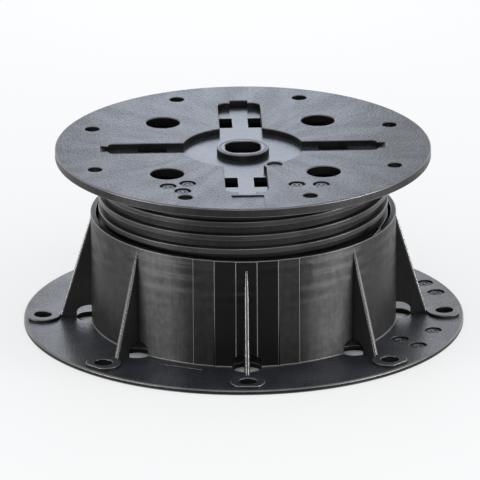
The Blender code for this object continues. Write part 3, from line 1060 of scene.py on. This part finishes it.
@dataclass(frozen=True)
class Holes:
    """A ring of equal fixing holes, the first half a step from +X."""

    count: int
    circle: float
    radius: float
    steps: int
    edges: Limits

    def walls(self, span: Limits) -> list[tuple[Outline, Profile]]:
        """Give the walls of the holes.

        Args:
            span: Heights of the plate's underside and top.

        Returns:
            The outline and the section of each hole.
        """
        centres = [spoke(self.circle, 360.0 * (number + 0.5) / self.count) for number in range(self.count)]
        section = rounded(*span, *self.edges)
        return [(Outline.circle(self.radius, centre, self.steps, True), section) for centre in centres]


@dataclass
class Moulding:
    """What the two mouldings share: how their pieces are dressed and where the threads lie."""

    body: Body
    pieces: list[bpy.types.Object] = field(default_factory=list)
    helix: Helix = Helix()
    # The head's thread, and the room between it and the base's.
    outer_crest_radius: float = 0.0667
    outer_depth: float = 0.0023
    outer_crest: float = 0.0026
    outer_flank: float = 0.0005
    outer_turns: int = 7
    crest_below_top: float = 0.0132
    thread_clearance: float = 0.0003
    thread_sink: float = 0.0005
    # How far a piece reaches into the one that carries it, and how deep a pocket is cut.
    overlap: float = 0.0010
    pocket_depth: float = 0.0010

    @property
    def box(self) -> tuple[Vector, Vector]:
        """The moulding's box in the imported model."""
        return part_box(self.body.value)

    def outer_thread_foot(self) -> float:
        """Give the height at which the middle of the head's ridge starts, at the front."""
        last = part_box(Body.HEAD.value)[1].z - self.crest_below_top - self.outer_crest / 2
        return last - (self.outer_turns - 1) * self.helix.pitch

    def dress(self, piece: bpy.types.Object, finish: Finish) -> bpy.types.Object:
        """Give a piece its finish and hang it on its body.

        Args:
            piece: The piece.
            finish: How its plastic looks.

        Returns:
            The piece.
        """
        slots = piece.data.materials
        for face, plastic in zip(Face, finish.value):
            if len(slots) <= face.value:
                slots.append(None)
            slots[face.value] = bpy.data.materials.get(plastic.name) or plastic.material()
        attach(piece, self.body.value)
        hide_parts(self.body.value)
        self.pieces.append(piece)
        log.info("%s: %d faces, %s", piece.name, len(piece.data.polygons), finish.name.lower())
        return piece


@dataclass
class Base(Moulding):
    """The flange with its cup, ribs, bosses and drains."""

    body: Body = Body.BASE
    flange_thickness: float = 0.0024
    flange_upper_round: float = 0.0007
    flange_lower_round: float = 0.0005
    hole_round: float = 0.00015
    # The cup, with heights above the floor, and the lip inside its rim.
    cup_radius: float = 0.0704
    cup_wall: float = 0.0022
    cup_height: float = 0.0538
    cup_fillet: float = 0.0005
    rim_width: float = 0.0026
    rim_depth: float = 0.0020
    rim_round: float = 0.0004
    # Each panel's half angle in degrees from the front rib, and how far it stands proud.
    front_panels: tuple[Limits, ...] = ((20.3, 0.00035), (12.1, 0.00060), (4.1, 0.00085))
    panel_round: float = 0.0004
    # The crease grooves: the heights of foot and tip and the widths there, then their section.
    groove_angle: float = 12.1
    groove_span: Limits = (0.0026, 0.0290)
    groove_widths: Limits = (0.0010, 0.00004)
    groove_face: float = 0.0708
    groove_reach: float = 0.0020
    groove_depth: float = 0.0014
    groove_narrowing: float = 0.35
    # The ribs: where the slanted edge bends, how thin the tip is, and the thickness at edge and foot.
    rib_count: int = 8
    rib_top: float = 0.0515
    rib_bend: float = 0.75
    rib_tip: float = 0.35
    rib_reach: float = 0.0850
    rib_edge: float = 0.0018
    rib_foot: float = 0.0035
    rib_round: float = 0.0009
    rib_root: float = 0.0021
    rib_sink: float = 0.0020
    # The screw bosses.
    boss_circle: float = 0.0927
    boss_radius: float = 0.0080
    boss_height: float = 0.0014
    boss_flat: float = 0.0066
    boss_corner: float = 0.0022
    boss_round: float = 0.0004
    boss_hole: float = 0.00415
    boss_hole_round: float = 0.0003
    # The drains, with the heights of the side and the crown of each arch.
    drain_radius: float = 0.00675
    drain_side: float = 0.0052
    drain_top: float = 0.0087
    # The stop tooth, whose ramp starts just under the rim.
    stop_angle: float = -27.0
    stop_ramp: float = 7.0
    stop_height: float = 0.0020
    stop_round: float = 0.0002
    stop_sink: float = 0.0003
    # The inner thread.
    inner_crest: float = 0.0022
    inner_flank: float = 0.0006
    inner_edge: float = 0.0003
    inner_turns: int = 4
    inner_foot: float = 0.0232
    # The blank field, and the mould-date discs as (distance, angle).
    plate_angle: float = -113.7
    plate_length: float = 0.0213
    plate_span: Limits = (0.0752, 0.0872)
    plate_depth: float = 0.0003
    date_disc_radius: float = 0.0040
    date_discs: tuple[Limits, ...] = (
        (0.0898, -15.2), (0.0903, -28.8), (0.0793, -26.3), (0.0941, 17.4), (0.0944, 25.8),
    )

    def rib_angles(self) -> list[float]:
        """List the angles of the ribs, the front one first."""
        return [FRONT + 360.0 * number / self.rib_count for number in range(self.rib_count)]

    def build(self) -> None:
        """Build and dress the whole moulding."""
        self.dress(self.make_flange(), Finish.FLANGE)
        self.dress(self.make_cup(), Finish.WALL)
        self.dress(self.make_stop(), Finish.WALL)
        self.dress(self.make_thread(), Finish.THREAD)
        for number, angle in enumerate(self.rib_angles(), 1):
            self.dress(self.make_rib(f"base_rib_{number}", angle), Finish.RIB)
            self.dress(self.make_boss(f"base_boss_{number}", angle), Finish.FLANGE)
        mark = DateDisc(self.date_disc_radius, self.pocket_depth)
        for number, place in enumerate(self.date_discs, 1):
            made = mark.build(f"base_date_disc_{number}", spoke(*place), self.flange_thickness)
            self.dress(made, Finish.FLANGE)

    def plate_outline(self) -> list[Vector]:
        """Draw the blank field on the flange's front left."""
        near, far = self.plate_span
        turn = Matrix.Rotation(math.radians(self.plate_angle), 2)
        corners = rectangle((near, -self.plate_length / 2), (far, self.plate_length / 2))
        return [turn @ corner for corner in corners]

    def make_flange(self) -> bpy.types.Object:
        """Build the flange with its drains, screw holes and shallow fields."""
        top = self.flange_thickness
        outer = rounded(0.0, top, self.flange_lower_round, self.flange_upper_round)
        hole, pocket, plain = (rounded(foot, top, 0.0, self.hole_round) for foot in (
            0.0, top - self.pocket_depth, top - self.plate_depth,
        ))
        walls = [(Outline.circle(self.box[1].x, steps=EDGE_SIDES), outer)]
        for angle in self.rib_angles():
            drain, screw = spoke(self.cup_radius, angle), spoke(self.boss_circle, angle)
            walls.append((Outline.circle(self.drain_radius, drain, DRAIN_SIDES, True), hole))
            walls.append((Outline.circle(self.boss_hole, screw, SCREW_SIDES, True), hole))
        for place in self.date_discs:
            walls.append((Outline.circle(self.date_disc_radius, spoke(*place), SCREW_SIDES, True), pocket))
        walls.append((Outline.around(self.plate_outline(), True), plain))
        return plate("base_flange", walls)

    def cup_outline(self) -> list[Vector]:
        """Draw the cup's outer wall, with the stepped flat panels at the front."""
        steps = []
        before = 0.0
        for half_angle, proud in self.front_panels:
            steps.append((self.cup_radius + before, half_angle))
            for turn in quarter(4):
                back = math.degrees(self.panel_round * (1.0 - math.cos(turn)) / self.cup_radius)
                lift = (proud - before) * math.sin(turn)
                steps.append((self.cup_radius + before + lift, half_angle - back))
            before = proud
        steps = [step for number, step in enumerate(steps) if step != steps[number - 1]]
        left = [spoke(radius, FRONT - angle) for radius, angle in steps]
        right = [spoke(radius, FRONT + angle) for radius, angle in reversed(steps)]
        widest = self.front_panels[0][0]
        back = arc((0.0, 0.0), self.cup_radius, FRONT + widest, FRONT - widest + 360.0, WALL_SIDES)[1:-1]
        return left + right + back

    def make_cup(self) -> bpy.types.Object:
        """Build the cup with its foot fillet, rim lip, drain arches and crease grooves."""
        top = self.cup_height
        foot = self.flange_thickness - self.overlap
        fillet = [(-self.cup_fillet, foot)]
        fillet += [(-self.cup_fillet * (1.0 - math.sin(turn)),
                    self.flange_thickness + self.cup_fillet * (1.0 - math.cos(turn))) for turn in quarter(3)]
        outer = fillet + rounded(foot, top, 0.0, self.rim_round)[1:]
        lip = self.rim_width - self.cup_wall
        inner = [(0.0, foot), (0.0, top - self.rim_depth - lip)]
        inner += rounded(top - self.rim_depth, top, 0.0, self.rim_round, -lip)
        bore = self.cup_radius - self.cup_wall
        cup = plate("base_cup", [
            (Outline.around(self.cup_outline(), along_radii=True), outer),
            (Outline.circle(bore, steps=WALL_SIDES, hole=True), inner),
        ])
        boolean(cup, self.drain_cutters())
        boolean(cup, self.groove_cutters())
        return cup

    def dome(self, shell: Shell, centre: Vector) -> None:
        """Add one drain's cutter, a cylinder with a domed top.

        Args:
            shell: The mesh that it is added to.
            centre: The drain's centre.
        """
        rise = self.drain_top - self.drain_side
        section = [(self.drain_radius, -self.overlap)]
        section += [(self.drain_radius * math.cos(turn), self.drain_side + rise * math.sin(turn))
                    for turn in quarter(9)[:-1]]
        rings = []
        for radius, height in section:
            circle = Outline.circle(radius, centre, DRAIN_SIDES)
            rings.append(shell.ring(raised(point, height) for point in circle.points))
        shell.skin(rings, set(), lambda step, number: Face.SIDE)
        shell.mesh.faces.new(list(reversed(rings[0])))
        shell.mesh.faces.new(rings[-1])

    def drain_cutters(self) -> bpy.types.Object:
        """Build the cutters of all the drains."""
        shell = Shell()
        for angle in self.rib_angles():
            self.dome(shell, spoke(self.cup_radius, angle))
        return shell.made("drain_cutters")

    def groove_cutters(self) -> bpy.types.Object:
        """Build the cutters of the two crease grooves, which widen towards the foot."""
        shell = Shell()
        section = ((self.groove_reach, 1.0), (-self.groove_depth, self.groove_narrowing))
        for angle in (FRONT - self.groove_angle, FRONT + self.groove_angle):
            out = spoke(1.0, angle)
            across = Vector((-out.y, out.x))
            corners = shell.ring(
                raised(out * (self.groove_face + outward) + across * (half * width * share), height)
                for height, width in zip(self.groove_span, self.groove_widths)
                for outward, share in section for half in (-0.5, 0.5)
            )
            bmesh.ops.convex_hull(shell.mesh, input=corners)
        return shell.made("groove_cutters")

    def make_rib(self, name: str, angle: float) -> bpy.types.Object:
        """Build one rib, which narrows towards its slanted edge.

        Args:
            name: The piece's name.
            angle: Angle in degrees.

        Returns:
            The rib.
        """
        wall = self.cup_radius - self.rib_root
        foot = self.flange_thickness - self.rib_sink
        toe = Vector((self.rib_reach, self.flange_thickness))
        peak = Vector((self.cup_radius, self.rib_top))
        bend = toe.lerp(peak, self.rib_bend)
        corners = [Vector((wall, foot)), Vector((self.rib_reach, foot)), toe, bend, peak,
                   Vector((wall, self.rib_top))]
        half = self.rib_foot / 2
        section = rounded(-half, half, self.rib_round, self.rib_round, steps=6)
        rib = plate(name, [(Outline.around(corners), section)])
        edge = (peak - toe).normalized()
        inward = Vector((-edge.y, edge.x))
        deepest = (corners[0] - toe).dot(inward)
        turn = Matrix.Rotation(math.radians(angle), 3, "Z")
        for vertex in rib.data.vertices:
            radius, height, side = vertex.co
            depth = (Vector((radius, height)) - toe).dot(inward) / deepest
            thickness = self.rib_edge + (self.rib_foot - self.rib_edge) * max(0.0, depth)
            below = min(1.0, (peak.y - height) / (peak.y - bend.y))
            thickness *= self.rib_tip + (1.0 - self.rib_tip) * below
            vertex.co = turn @ Vector((radius, -side * thickness / self.rib_foot, height))
        shell = Shell()
        self.dome(shell, spoke(self.cup_radius, angle))
        boolean(rib, shell.made(name + "_drain"))
        return rib

    def make_boss(self, name: str, angle: float) -> bpy.types.Object:
        """Build one screw boss, a low disc with a flat on its outer side.

        Args:
            name: The piece's name.
            angle: Angle in degrees.

        Returns:
            The boss.
        """
        inner, flat = self.boss_radius - self.boss_corner, self.boss_flat - self.boss_corner
        start = math.degrees(math.acos(flat / inner))
        corner = spoke(inner, start)
        edge = arc(corner, self.boss_corner, 0.0, start, 6)
        edge += arc((0.0, 0.0), self.boss_radius, start, 360.0 - start, DRAIN_SIDES)[1:-1]
        edge += arc((corner.x, -corner.y), self.boss_corner, -start, 0.0, 6)
        foot = self.flange_thickness - self.overlap
        top = self.flange_thickness + self.boss_height
        hole = Outline.circle(self.boss_hole, steps=SCREW_SIDES, hole=True)
        boss = plate(name, [
            (Outline.around(edge), rounded(foot, top, 0.0, self.boss_round)),
            (hole, rounded(foot, top, 0.0, self.boss_hole_round)),
        ])
        boss.data.transform(Matrix.Translation((self.boss_circle, 0.0, 0.0)))
        boss.data.transform(Matrix.Rotation(math.radians(angle), 4, "Z"))
        return boss

    def make_stop(self) -> bpy.types.Object:
        """Build the ramped stop tooth on the rim."""
        inner = self.cup_radius - self.rim_width + self.rim_round
        outer = self.cup_radius - self.rim_round
        start = self.stop_angle - self.stop_ramp
        edge = arc((0.0, 0.0), outer, start, self.stop_angle, 8)
        edge += arc((0.0, 0.0), inner, self.stop_angle, start, 8)
        top = self.cup_height + self.stop_height
        tooth = plate("base_rim_stop", [
            (Outline.around(edge), rounded(self.cup_height - self.overlap, top, 0.0, self.stop_round)),
        ])
        for vertex in tooth.data.vertices:
            if vertex.co.z > self.cup_height:
                share = (math.degrees(math.atan2(vertex.co.y, vertex.co.x)) - start) / self.stop_ramp
                vertex.co.z -= (1.0 - max(0.0, min(1.0, share))) * (self.stop_height + self.stop_sink)
        return tooth

    def make_thread(self) -> bpy.types.Object:
        """Build the inner thread, in the grooves of the head's."""
        root = self.cup_radius - self.cup_wall + self.thread_sink
        crest = self.outer_crest_radius + self.thread_clearance
        turns_above = (self.inner_foot - self.outer_thread_foot()) / self.helix.pitch
        section = ridge_section(root, crest, self.inner_crest, self.inner_flank, self.inner_edge)
        return self.helix.ridge(
            "base_thread", section, root, self.inner_turns, self.inner_foot,
            FRONT + 360.0 * (turns_above + 0.5),
        )


@dataclass
class Head(Moulding):
    """The disc with its recess, hub and holes, and the threaded skirt."""

    body: Body = Body.HEAD
    turn: float = 0.75
    disc_thickness: float = 0.0041
    disc_upper_round: float = 0.0006
    disc_lower_round: float = 0.0003
    # The skirt and the edges of its thread's crest.
    skirt_wall: float = 0.0028
    skirt_fillet: float = 0.0010
    skirt_bevel: float = 0.0004
    outer_edge: float = 0.0004
    # The recess: a circle crossed by a slot along Y and two arms along X.
    recess_depth: float = 0.0028
    recess_floor: float = 0.0024
    recess_radius: float = 0.0280
    recess_round: float = 0.0003
    floor_round: float = 0.0003
    slot_width: float = 0.0196
    slot_reach: float = 0.0625
    slot_corner: float = 0.0040
    arm_width: float = 0.0140
    arm_reach: float = 0.0620
    arm_corner: float = 0.0028
    # The notches at the four ends, and the ramps in those of the arms.
    notch_width: float = 0.0082
    notch_reach: float = 0.0658
    ramp_back: float = 0.0005
    ramp_root: float = 0.00025
    ramp_head: float = 0.0005
    ramp_side: float = 0.0002
    ramp_toe: float = 0.0001
    ramp_gap: float = 0.00002
    # The windows on both sides of a tongue in each arm and each end of the slot.
    window_start: float = 0.0349
    window_end: float = 0.0483
    window_inset: float = 0.0001
    slot_tongue: float = 0.0073
    arm_tongue: float = 0.0044
    # The hub, its rounded square bore and the fine rings on its face.
    hub_radius: float = 0.0120
    hub_bore: float = 0.0163
    hub_corner: float = 0.0058
    hub_length: float = 0.0140
    hub_round: float = 0.0004
    hub_rings: Limits = (0.0008, 0.0015)
    ring_depth: float = 0.0002
    # The pad that the recess leaves clear, as (distance, angle), and the dimple in it.
    pad_radius: float = 0.0051
    pad_place: Limits = (0.0284, -61.0)
    dimple_radius: float = 0.0036
    dimple_depth: float = 0.0008
    # The fixing holes.
    small_holes: Holes = Holes(8, 0.07435, 0.00345, HOLE_SIDES, (0.0002, 0.0003))
    large_holes: Holes = Holes(4, 0.05073, 0.00785, WIDE_SIDES, (0.0003, 0.0004))
    # The blank field, and the mould-date discs as (x, y).
    plate_width: float = 0.0149
    plate_span: Limits = (0.0673, 0.0842)
    plate_depth: float = 0.0005
    pocket_round: float = 0.0001
    date_disc_radius: float = 0.0039
    date_discs: tuple[Limits, ...] = (
        (-0.0359, -0.0531), (-0.0269, -0.0497), (-0.0294, -0.0601), (0.0229, -0.0529), (0.0340, -0.0534),
    )

    @property
    def top(self) -> float:
        """Height of the disc's top."""
        return self.box[1].z

    @property
    def underside(self) -> float:
        """Height of the disc's underside."""
        return self.top - self.disc_thickness

    @property
    def recess_bottom(self) -> float:
        """Height of the recess's floor."""
        return self.top - self.recess_depth

    @property
    def skirt_radius(self) -> float:
        """Radius of the skirt between the threads."""
        return self.outer_crest_radius - self.outer_depth

    @property
    def skirt_bore(self) -> float:
        """Inner radius of the skirt."""
        return self.skirt_radius - self.skirt_wall

    def build(self) -> None:
        """Build and dress the whole moulding."""
        self.fit(self.make_disc(), Finish.TOP)
        self.fit(self.make_floor(), Finish.RECESS)
        self.fit(self.make_hub(), Finish.RECESS)
        self.fit(self.make_skirt(), Finish.GROOVE)
        self.fit(self.make_thread(), Finish.THREAD)
        for side in (-1, 1):
            self.fit(self.make_ramp(side), Finish.RAMP)
        mark = DateDisc(self.date_disc_radius, self.pocket_depth)
        for number, centre in enumerate(self.date_discs, 1):
            self.fit(mark.build(f"head_date_disc_{number}", Vector(centre), self.top), Finish.RECESS)

    def fit(self, piece: bpy.types.Object, finish: Finish) -> None:
        """Turn a piece with the head and dress it.

        Args:
            piece: The piece, built square to the axes.
            finish: How its plastic looks.
        """
        piece.data.transform(Matrix.Rotation(math.radians(self.turn), 4, "Z"))
        self.dress(piece, finish)

    def cross(self, grow: float, slot_reach: float, arm_reach: float, notch: bool) -> list[Vector]:
        """Draw a circle crossed by the slot and the arms.

        Args:
            grow: How much wider than the recess it is, each side.
            slot_reach: Reach of the slot from the axis.
            arm_reach: Reach of the arms from the axis.
            notch: Whether the four ends have their notches.

        Returns:
            The corners, counter-clockwise.
        """
        circle = self.recess_radius + grow
        slot_half = self.slot_width / 2 + grow
        arm_half = self.arm_width / 2 + grow
        meets_arm = math.degrees(math.asin(arm_half / circle))
        meets_slot = math.degrees(math.acos(slot_half / circle))
        notch_half = self.notch_width / 2
        first = [Vector((self.notch_reach, notch_half)), Vector((arm_reach, notch_half))] if notch else []
        corner = (arm_reach - self.arm_corner, arm_half - self.arm_corner)
        first += arc(corner, self.arm_corner, 0.0, 90.0, 8)
        first += arc((0.0, 0.0), circle, meets_arm, meets_slot, 24)
        corner = (slot_half - self.slot_corner, slot_reach - self.slot_corner)
        first += arc(corner, self.slot_corner, 0.0, 90.0, 8)
        if notch:
            first += [Vector((notch_half, slot_reach)), Vector((notch_half, self.notch_reach))]
        half = first + [Vector((-point.x, point.y)) for point in reversed(first)]
        return half + [Vector((-point.x, -point.y)) for point in half]

    def make_disc(self) -> bpy.types.Object:
        """Build the disc with all its openings."""
        span = (self.underside, self.top)
        rim = rounded(*span, self.disc_lower_round, self.disc_upper_round, steps=4)
        walls = [(Outline.circle(self.box[1].x, steps=EDGE_SIDES), rim)]
        cross = self.cross(0.0, self.slot_reach, self.arm_reach, True)
        cross = kept_clear(cross, spoke(*self.pad_place), self.pad_radius)
        walls.append((Outline.around(cross, True), rounded(*span, 0.0, self.recess_round)))
        dimple = Outline.circle(self.dimple_radius, spoke(*self.pad_place), DRAIN_SIDES, True)
        walls.append((dimple, rounded(self.top - self.dimple_depth, self.top, 0.0, self.recess_round)))
        walls += self.small_holes.walls(span) + self.large_holes.walls(span)
        pocket = rounded(self.top - self.pocket_depth, self.top, 0.0, self.pocket_round)
        for centre in self.date_discs:
            walls.append((Outline.circle(self.date_disc_radius, centre, HOLE_SIDES, True), pocket))
        near, far = self.plate_span
        plain = rectangle((-self.plate_width / 2, -far), (self.plate_width / 2, -near))
        walls.append((Outline.around(plain, True), rounded(self.top - self.plate_depth, self.top, 0.0, 0.0)))
        return plate("head_disc", walls)

    def make_floor(self) -> bpy.types.Object:
        """Build the recess's floor with its windows."""
        reach = self.skirt_bore + self.overlap
        span = (self.recess_bottom - self.recess_floor, self.recess_bottom)
        upright = rounded(*span, 0.0, 0.0)
        edge = Outline.around(self.cross(self.recess_floor, reach, reach, False))
        walls = [(edge, rounded(*span, self.floor_round, 0.0))]
        ways = ((False, self.arm_width, self.arm_tongue), (True, self.slot_width, self.slot_tongue))
        for (along, width, tongue), end, side in product(ways, (-1.0, 1.0), (-1.0, 1.0)):
            start, stop = sorted((end * self.window_start, end * self.window_end))
            near, far = sorted((side * tongue / 2, side * (width / 2 - self.window_inset)))
            corners = rectangle((start, near), (stop, far))
            if along:
                corners = [Vector((-point.y, point.x)) for point in corners]
            walls.append((Outline.around(corners, True), upright))
        hole = Outline.circle(self.hub_radius - self.overlap, steps=WIDE_SIDES, hole=True)
        walls.append((hole, upright))
        return plate("head_recess_floor", walls)

    def make_hub(self) -> bpy.types.Object:
        """Build the hub with its rounded square key bore."""
        half = self.hub_bore / 2 - self.hub_corner
        bore = []
        for start, (across, along) in zip((0.0, 90.0, 180.0, 270.0), ((1, 1), (-1, 1), (-1, -1), (1, -1))):
            bore += arc((across * half, along * half), self.hub_corner, start, start + 90.0, 12)
        span = (self.top - self.hub_length, self.top)
        face = rounded(*span, self.hub_round, self.hub_round)
        for depth in self.hub_rings:
            face += [(depth, self.top), (depth + self.ring_depth, self.top - self.ring_depth),
                     (depth + 2.0 * self.ring_depth, self.top)]
        return plate("head_hub", [
            (Outline.circle(self.hub_radius, steps=HUB_SIDES), face),
            (Outline.around(bore, True), rounded(*span, self.hub_round, self.hub_round)),
        ])

    def make_ramp(self, side: int) -> bpy.types.Object:
        """Build the sloping floor of the notch at the end of one arm.

        Args:
            side: 1 for the right arm, -1 for the left one.

        Returns:
            The wedge.
        """
        low, high = self.recess_bottom - self.overlap, self.top - self.ramp_gap
        slope = [Vector(corner) for corner in (
            (self.arm_reach - self.ramp_back, low), (self.notch_reach + self.ramp_root, low),
            (self.notch_reach + self.ramp_head, high), (self.notch_reach, high),
            (self.arm_reach, self.recess_bottom - self.ramp_toe),
        )]
        half = self.notch_width / 2 + self.ramp_side
        wedge = plate(f"head_notch_ramp_{'right' if side > 0 else 'left'}",
                      [(Outline.around(slope), rounded(-half, half, 0.0, 0.0))])
        for vertex in wedge.data.vertices:
            out, up, across = vertex.co
            vertex.co = (side * out, -side * across, up)
        return wedge

    def make_skirt(self) -> bpy.types.Object:
        """Build the plain tube under the thread."""
        foot, inside = self.box[0].z, self.underside + self.overlap
        bore, radius, bevel = self.skirt_bore, self.skirt_radius, self.skirt_bevel
        section = [(bore + bevel, foot), (radius - bevel, foot), (radius, foot + bevel)]
        section += [(radius + self.skirt_fillet * (1.0 - math.cos(turn)),
                     self.underside - self.skirt_fillet * (1.0 - math.sin(turn))) for turn in quarter(3)]
        section += [(radius + self.skirt_fillet, inside), (bore, inside), (bore, foot + bevel)]
        return turned("head_skirt", section, 288)

    def make_thread(self) -> bpy.types.Object:
        """Build the outer thread."""
        root = self.skirt_radius - self.thread_sink
        section = ridge_section(
            root, self.outer_crest_radius, self.outer_crest, self.outer_flank, self.outer_edge,
        )
        foot = self.outer_thread_foot()
        return self.helix.ridge("head_thread", section, root, self.outer_turns, foot, FRONT)


@dataclass(frozen=True)
class Softbox:
    """One large soft lamp that faces the pedestal and is hidden from the camera."""

    name: str
    place: tuple[float, float, float]
    size: tuple[float, float]
    radiance: float
    colour: Colour = (1.0, 1.0, 1.0)
    target: tuple[float, float, float] = (0.0, 0.0, 0.05)

    def build(self) -> None:
        """Add the lamp, with the power that gives its face the stated radiance."""
        lamp = bpy.data.lights.new(self.name, "AREA")
        lamp.shape = "RECTANGLE"
        lamp.size, lamp.size_y = self.size
        lamp.energy = self.radiance * math.pi * self.size[0] * self.size[1]
        lamp.color = self.colour
        made = placed(self.name, lamp)
        made.location = self.place
        made.rotation_mode = "QUATERNION"
        made.rotation_quaternion = (Vector(self.target) - Vector(self.place)).to_track_quat("-Z", "Y")
        made.visible_camera = False


@dataclass
class Studio:
    """The pale floor, the white surroundings, the lamps and the camera."""

    # The floor, its share of plain white, and the radii between which that share begins.
    floor_size: float = 12.0
    floor_gap: float = 0.0001
    floor_colour: Colour = (0.96, 0.96, 0.96)
    floor_whiteness: float = 0.60
    floor_shade: Limits = (0.080, 0.101)
    # The soft light from all round.
    ambient: float = 0.71
    ambient_colour: Colour = (0.95, 0.97, 1.0)
    # The photograph's camera, in degrees, metres, pixels and millimetres of sensor.
    camera_distance: float = 6.0
    camera_elevation: float = 19.54
    camera_roll: float = 0.285
    camera_azimuth: float = -1.044
    camera_aim: tuple[float, float, float] = (-0.001553, 0.0, 0.039039)
    focal_pixels: float = 13013.4
    picture_pixels: float = 480.0
    sensor_width: float = 36.0
    camera_clip: Limits = (0.1, 60.0)
    lamps: tuple[Softbox, ...] = (
        Softbox("back_box", (0.0, 0.58, 0.27), (0.15, 0.26), 3.6, (0.74, 0.83, 1.0)),
        Softbox("left_box", (-1.0, -0.50, 0.075), (0.8, 0.15), 37.0),
        Softbox("right_box", (1.0, -0.46, 0.075), (0.8, 0.15), 45.0),
        Softbox("front_box", (0.0, -1.5, 0.45), (0.5, 0.22), 9.0),
    )

    def build(self) -> None:
        """Build the studio and its camera."""
        bpy.context.scene.view_settings.view_transform = "Standard"
        self.make_floor()
        self.make_world()
        for lamp in self.lamps:
            lamp.build()
        self.make_camera()

    def make_floor(self) -> None:
        """Lay the floor."""
        shape = bmesh.new()
        bmesh.ops.create_grid(shape, x_segments=1, y_segments=1, size=self.floor_size / 2)
        data = bpy.data.meshes.new("studio_floor")
        shape.to_mesh(data)
        shape.free()
        floor = placed("studio_floor", data)
        floor.location.z = -self.floor_gap
        paper = bpy.data.materials.new("studio_floor")
        graph = Graph(paper)
        lit = graph.node("ShaderNodeBsdfDiffuse", None, {"Color": (*self.floor_colour, 1.0)})
        white = graph.node("ShaderNodeEmission", None, WHITE)
        away = graph.vector("LENGTH", graph.place(), output="Value")
        share = graph.seen() * away.between(*self.floor_shade) * self.floor_whiteness
        graph.end(graph.node("ShaderNodeMixShader", None, {0: share, 1: lit, 2: white}))
        floor.data.materials.append(paper)

    def make_world(self) -> None:
        """Light the scene softly from all round, with white where it is seen or mirrored."""
        world = bpy.data.worlds.new("studio")
        bpy.context.scene.world = world
        graph = Graph(world)
        sky = {"Color": (*self.ambient_colour, 1.0), "Strength": self.ambient}
        soft = graph.node("ShaderNodeBackground", None, sky)
        white = graph.node("ShaderNodeBackground", None, WHITE)
        graph.end(graph.node("ShaderNodeMixShader", None, {0: graph.seen(), 1: soft, 2: white}))

    def make_camera(self) -> None:
        """Set the camera where the photograph was taken from."""
        lift = math.radians(self.camera_elevation)
        roll = math.radians(self.camera_roll)
        turn = Matrix.Rotation(math.radians(self.camera_azimuth), 3, "Z")
        forward = turn @ Vector((0.0, math.cos(lift), -math.sin(lift)))
        level = turn @ Vector((1.0, 0.0, 0.0))
        upright = level.cross(forward)
        right = level * math.cos(roll) - upright * math.sin(roll)
        upward = level * math.sin(roll) + upright * math.cos(roll)
        place = turn @ Vector(self.camera_aim) - forward * self.camera_distance
        pose = Matrix((right, upward, -forward)).transposed().to_4x4()
        pose.translation = place
        data = bpy.data.cameras.new("photo_camera")
        data.sensor_width = self.sensor_width
        data.lens = self.focal_pixels * self.sensor_width / self.picture_pixels
        data.clip_start, data.clip_end = self.camera_clip
        camera = placed("photo_camera", data)
        camera.matrix_world = pose
        bpy.context.scene.camera = camera


def main() -> None:
    """Build the studio and both mouldings."""
    logging.basicConfig(level=logging.INFO, format="%(message)s")
    Studio().build()
    for moulding in (Base(), Head()):
        moulding.build()
        log.info("%s: %d pieces", moulding.body.value, len(moulding.pieces))


if __name__ == "__main__":
    main()
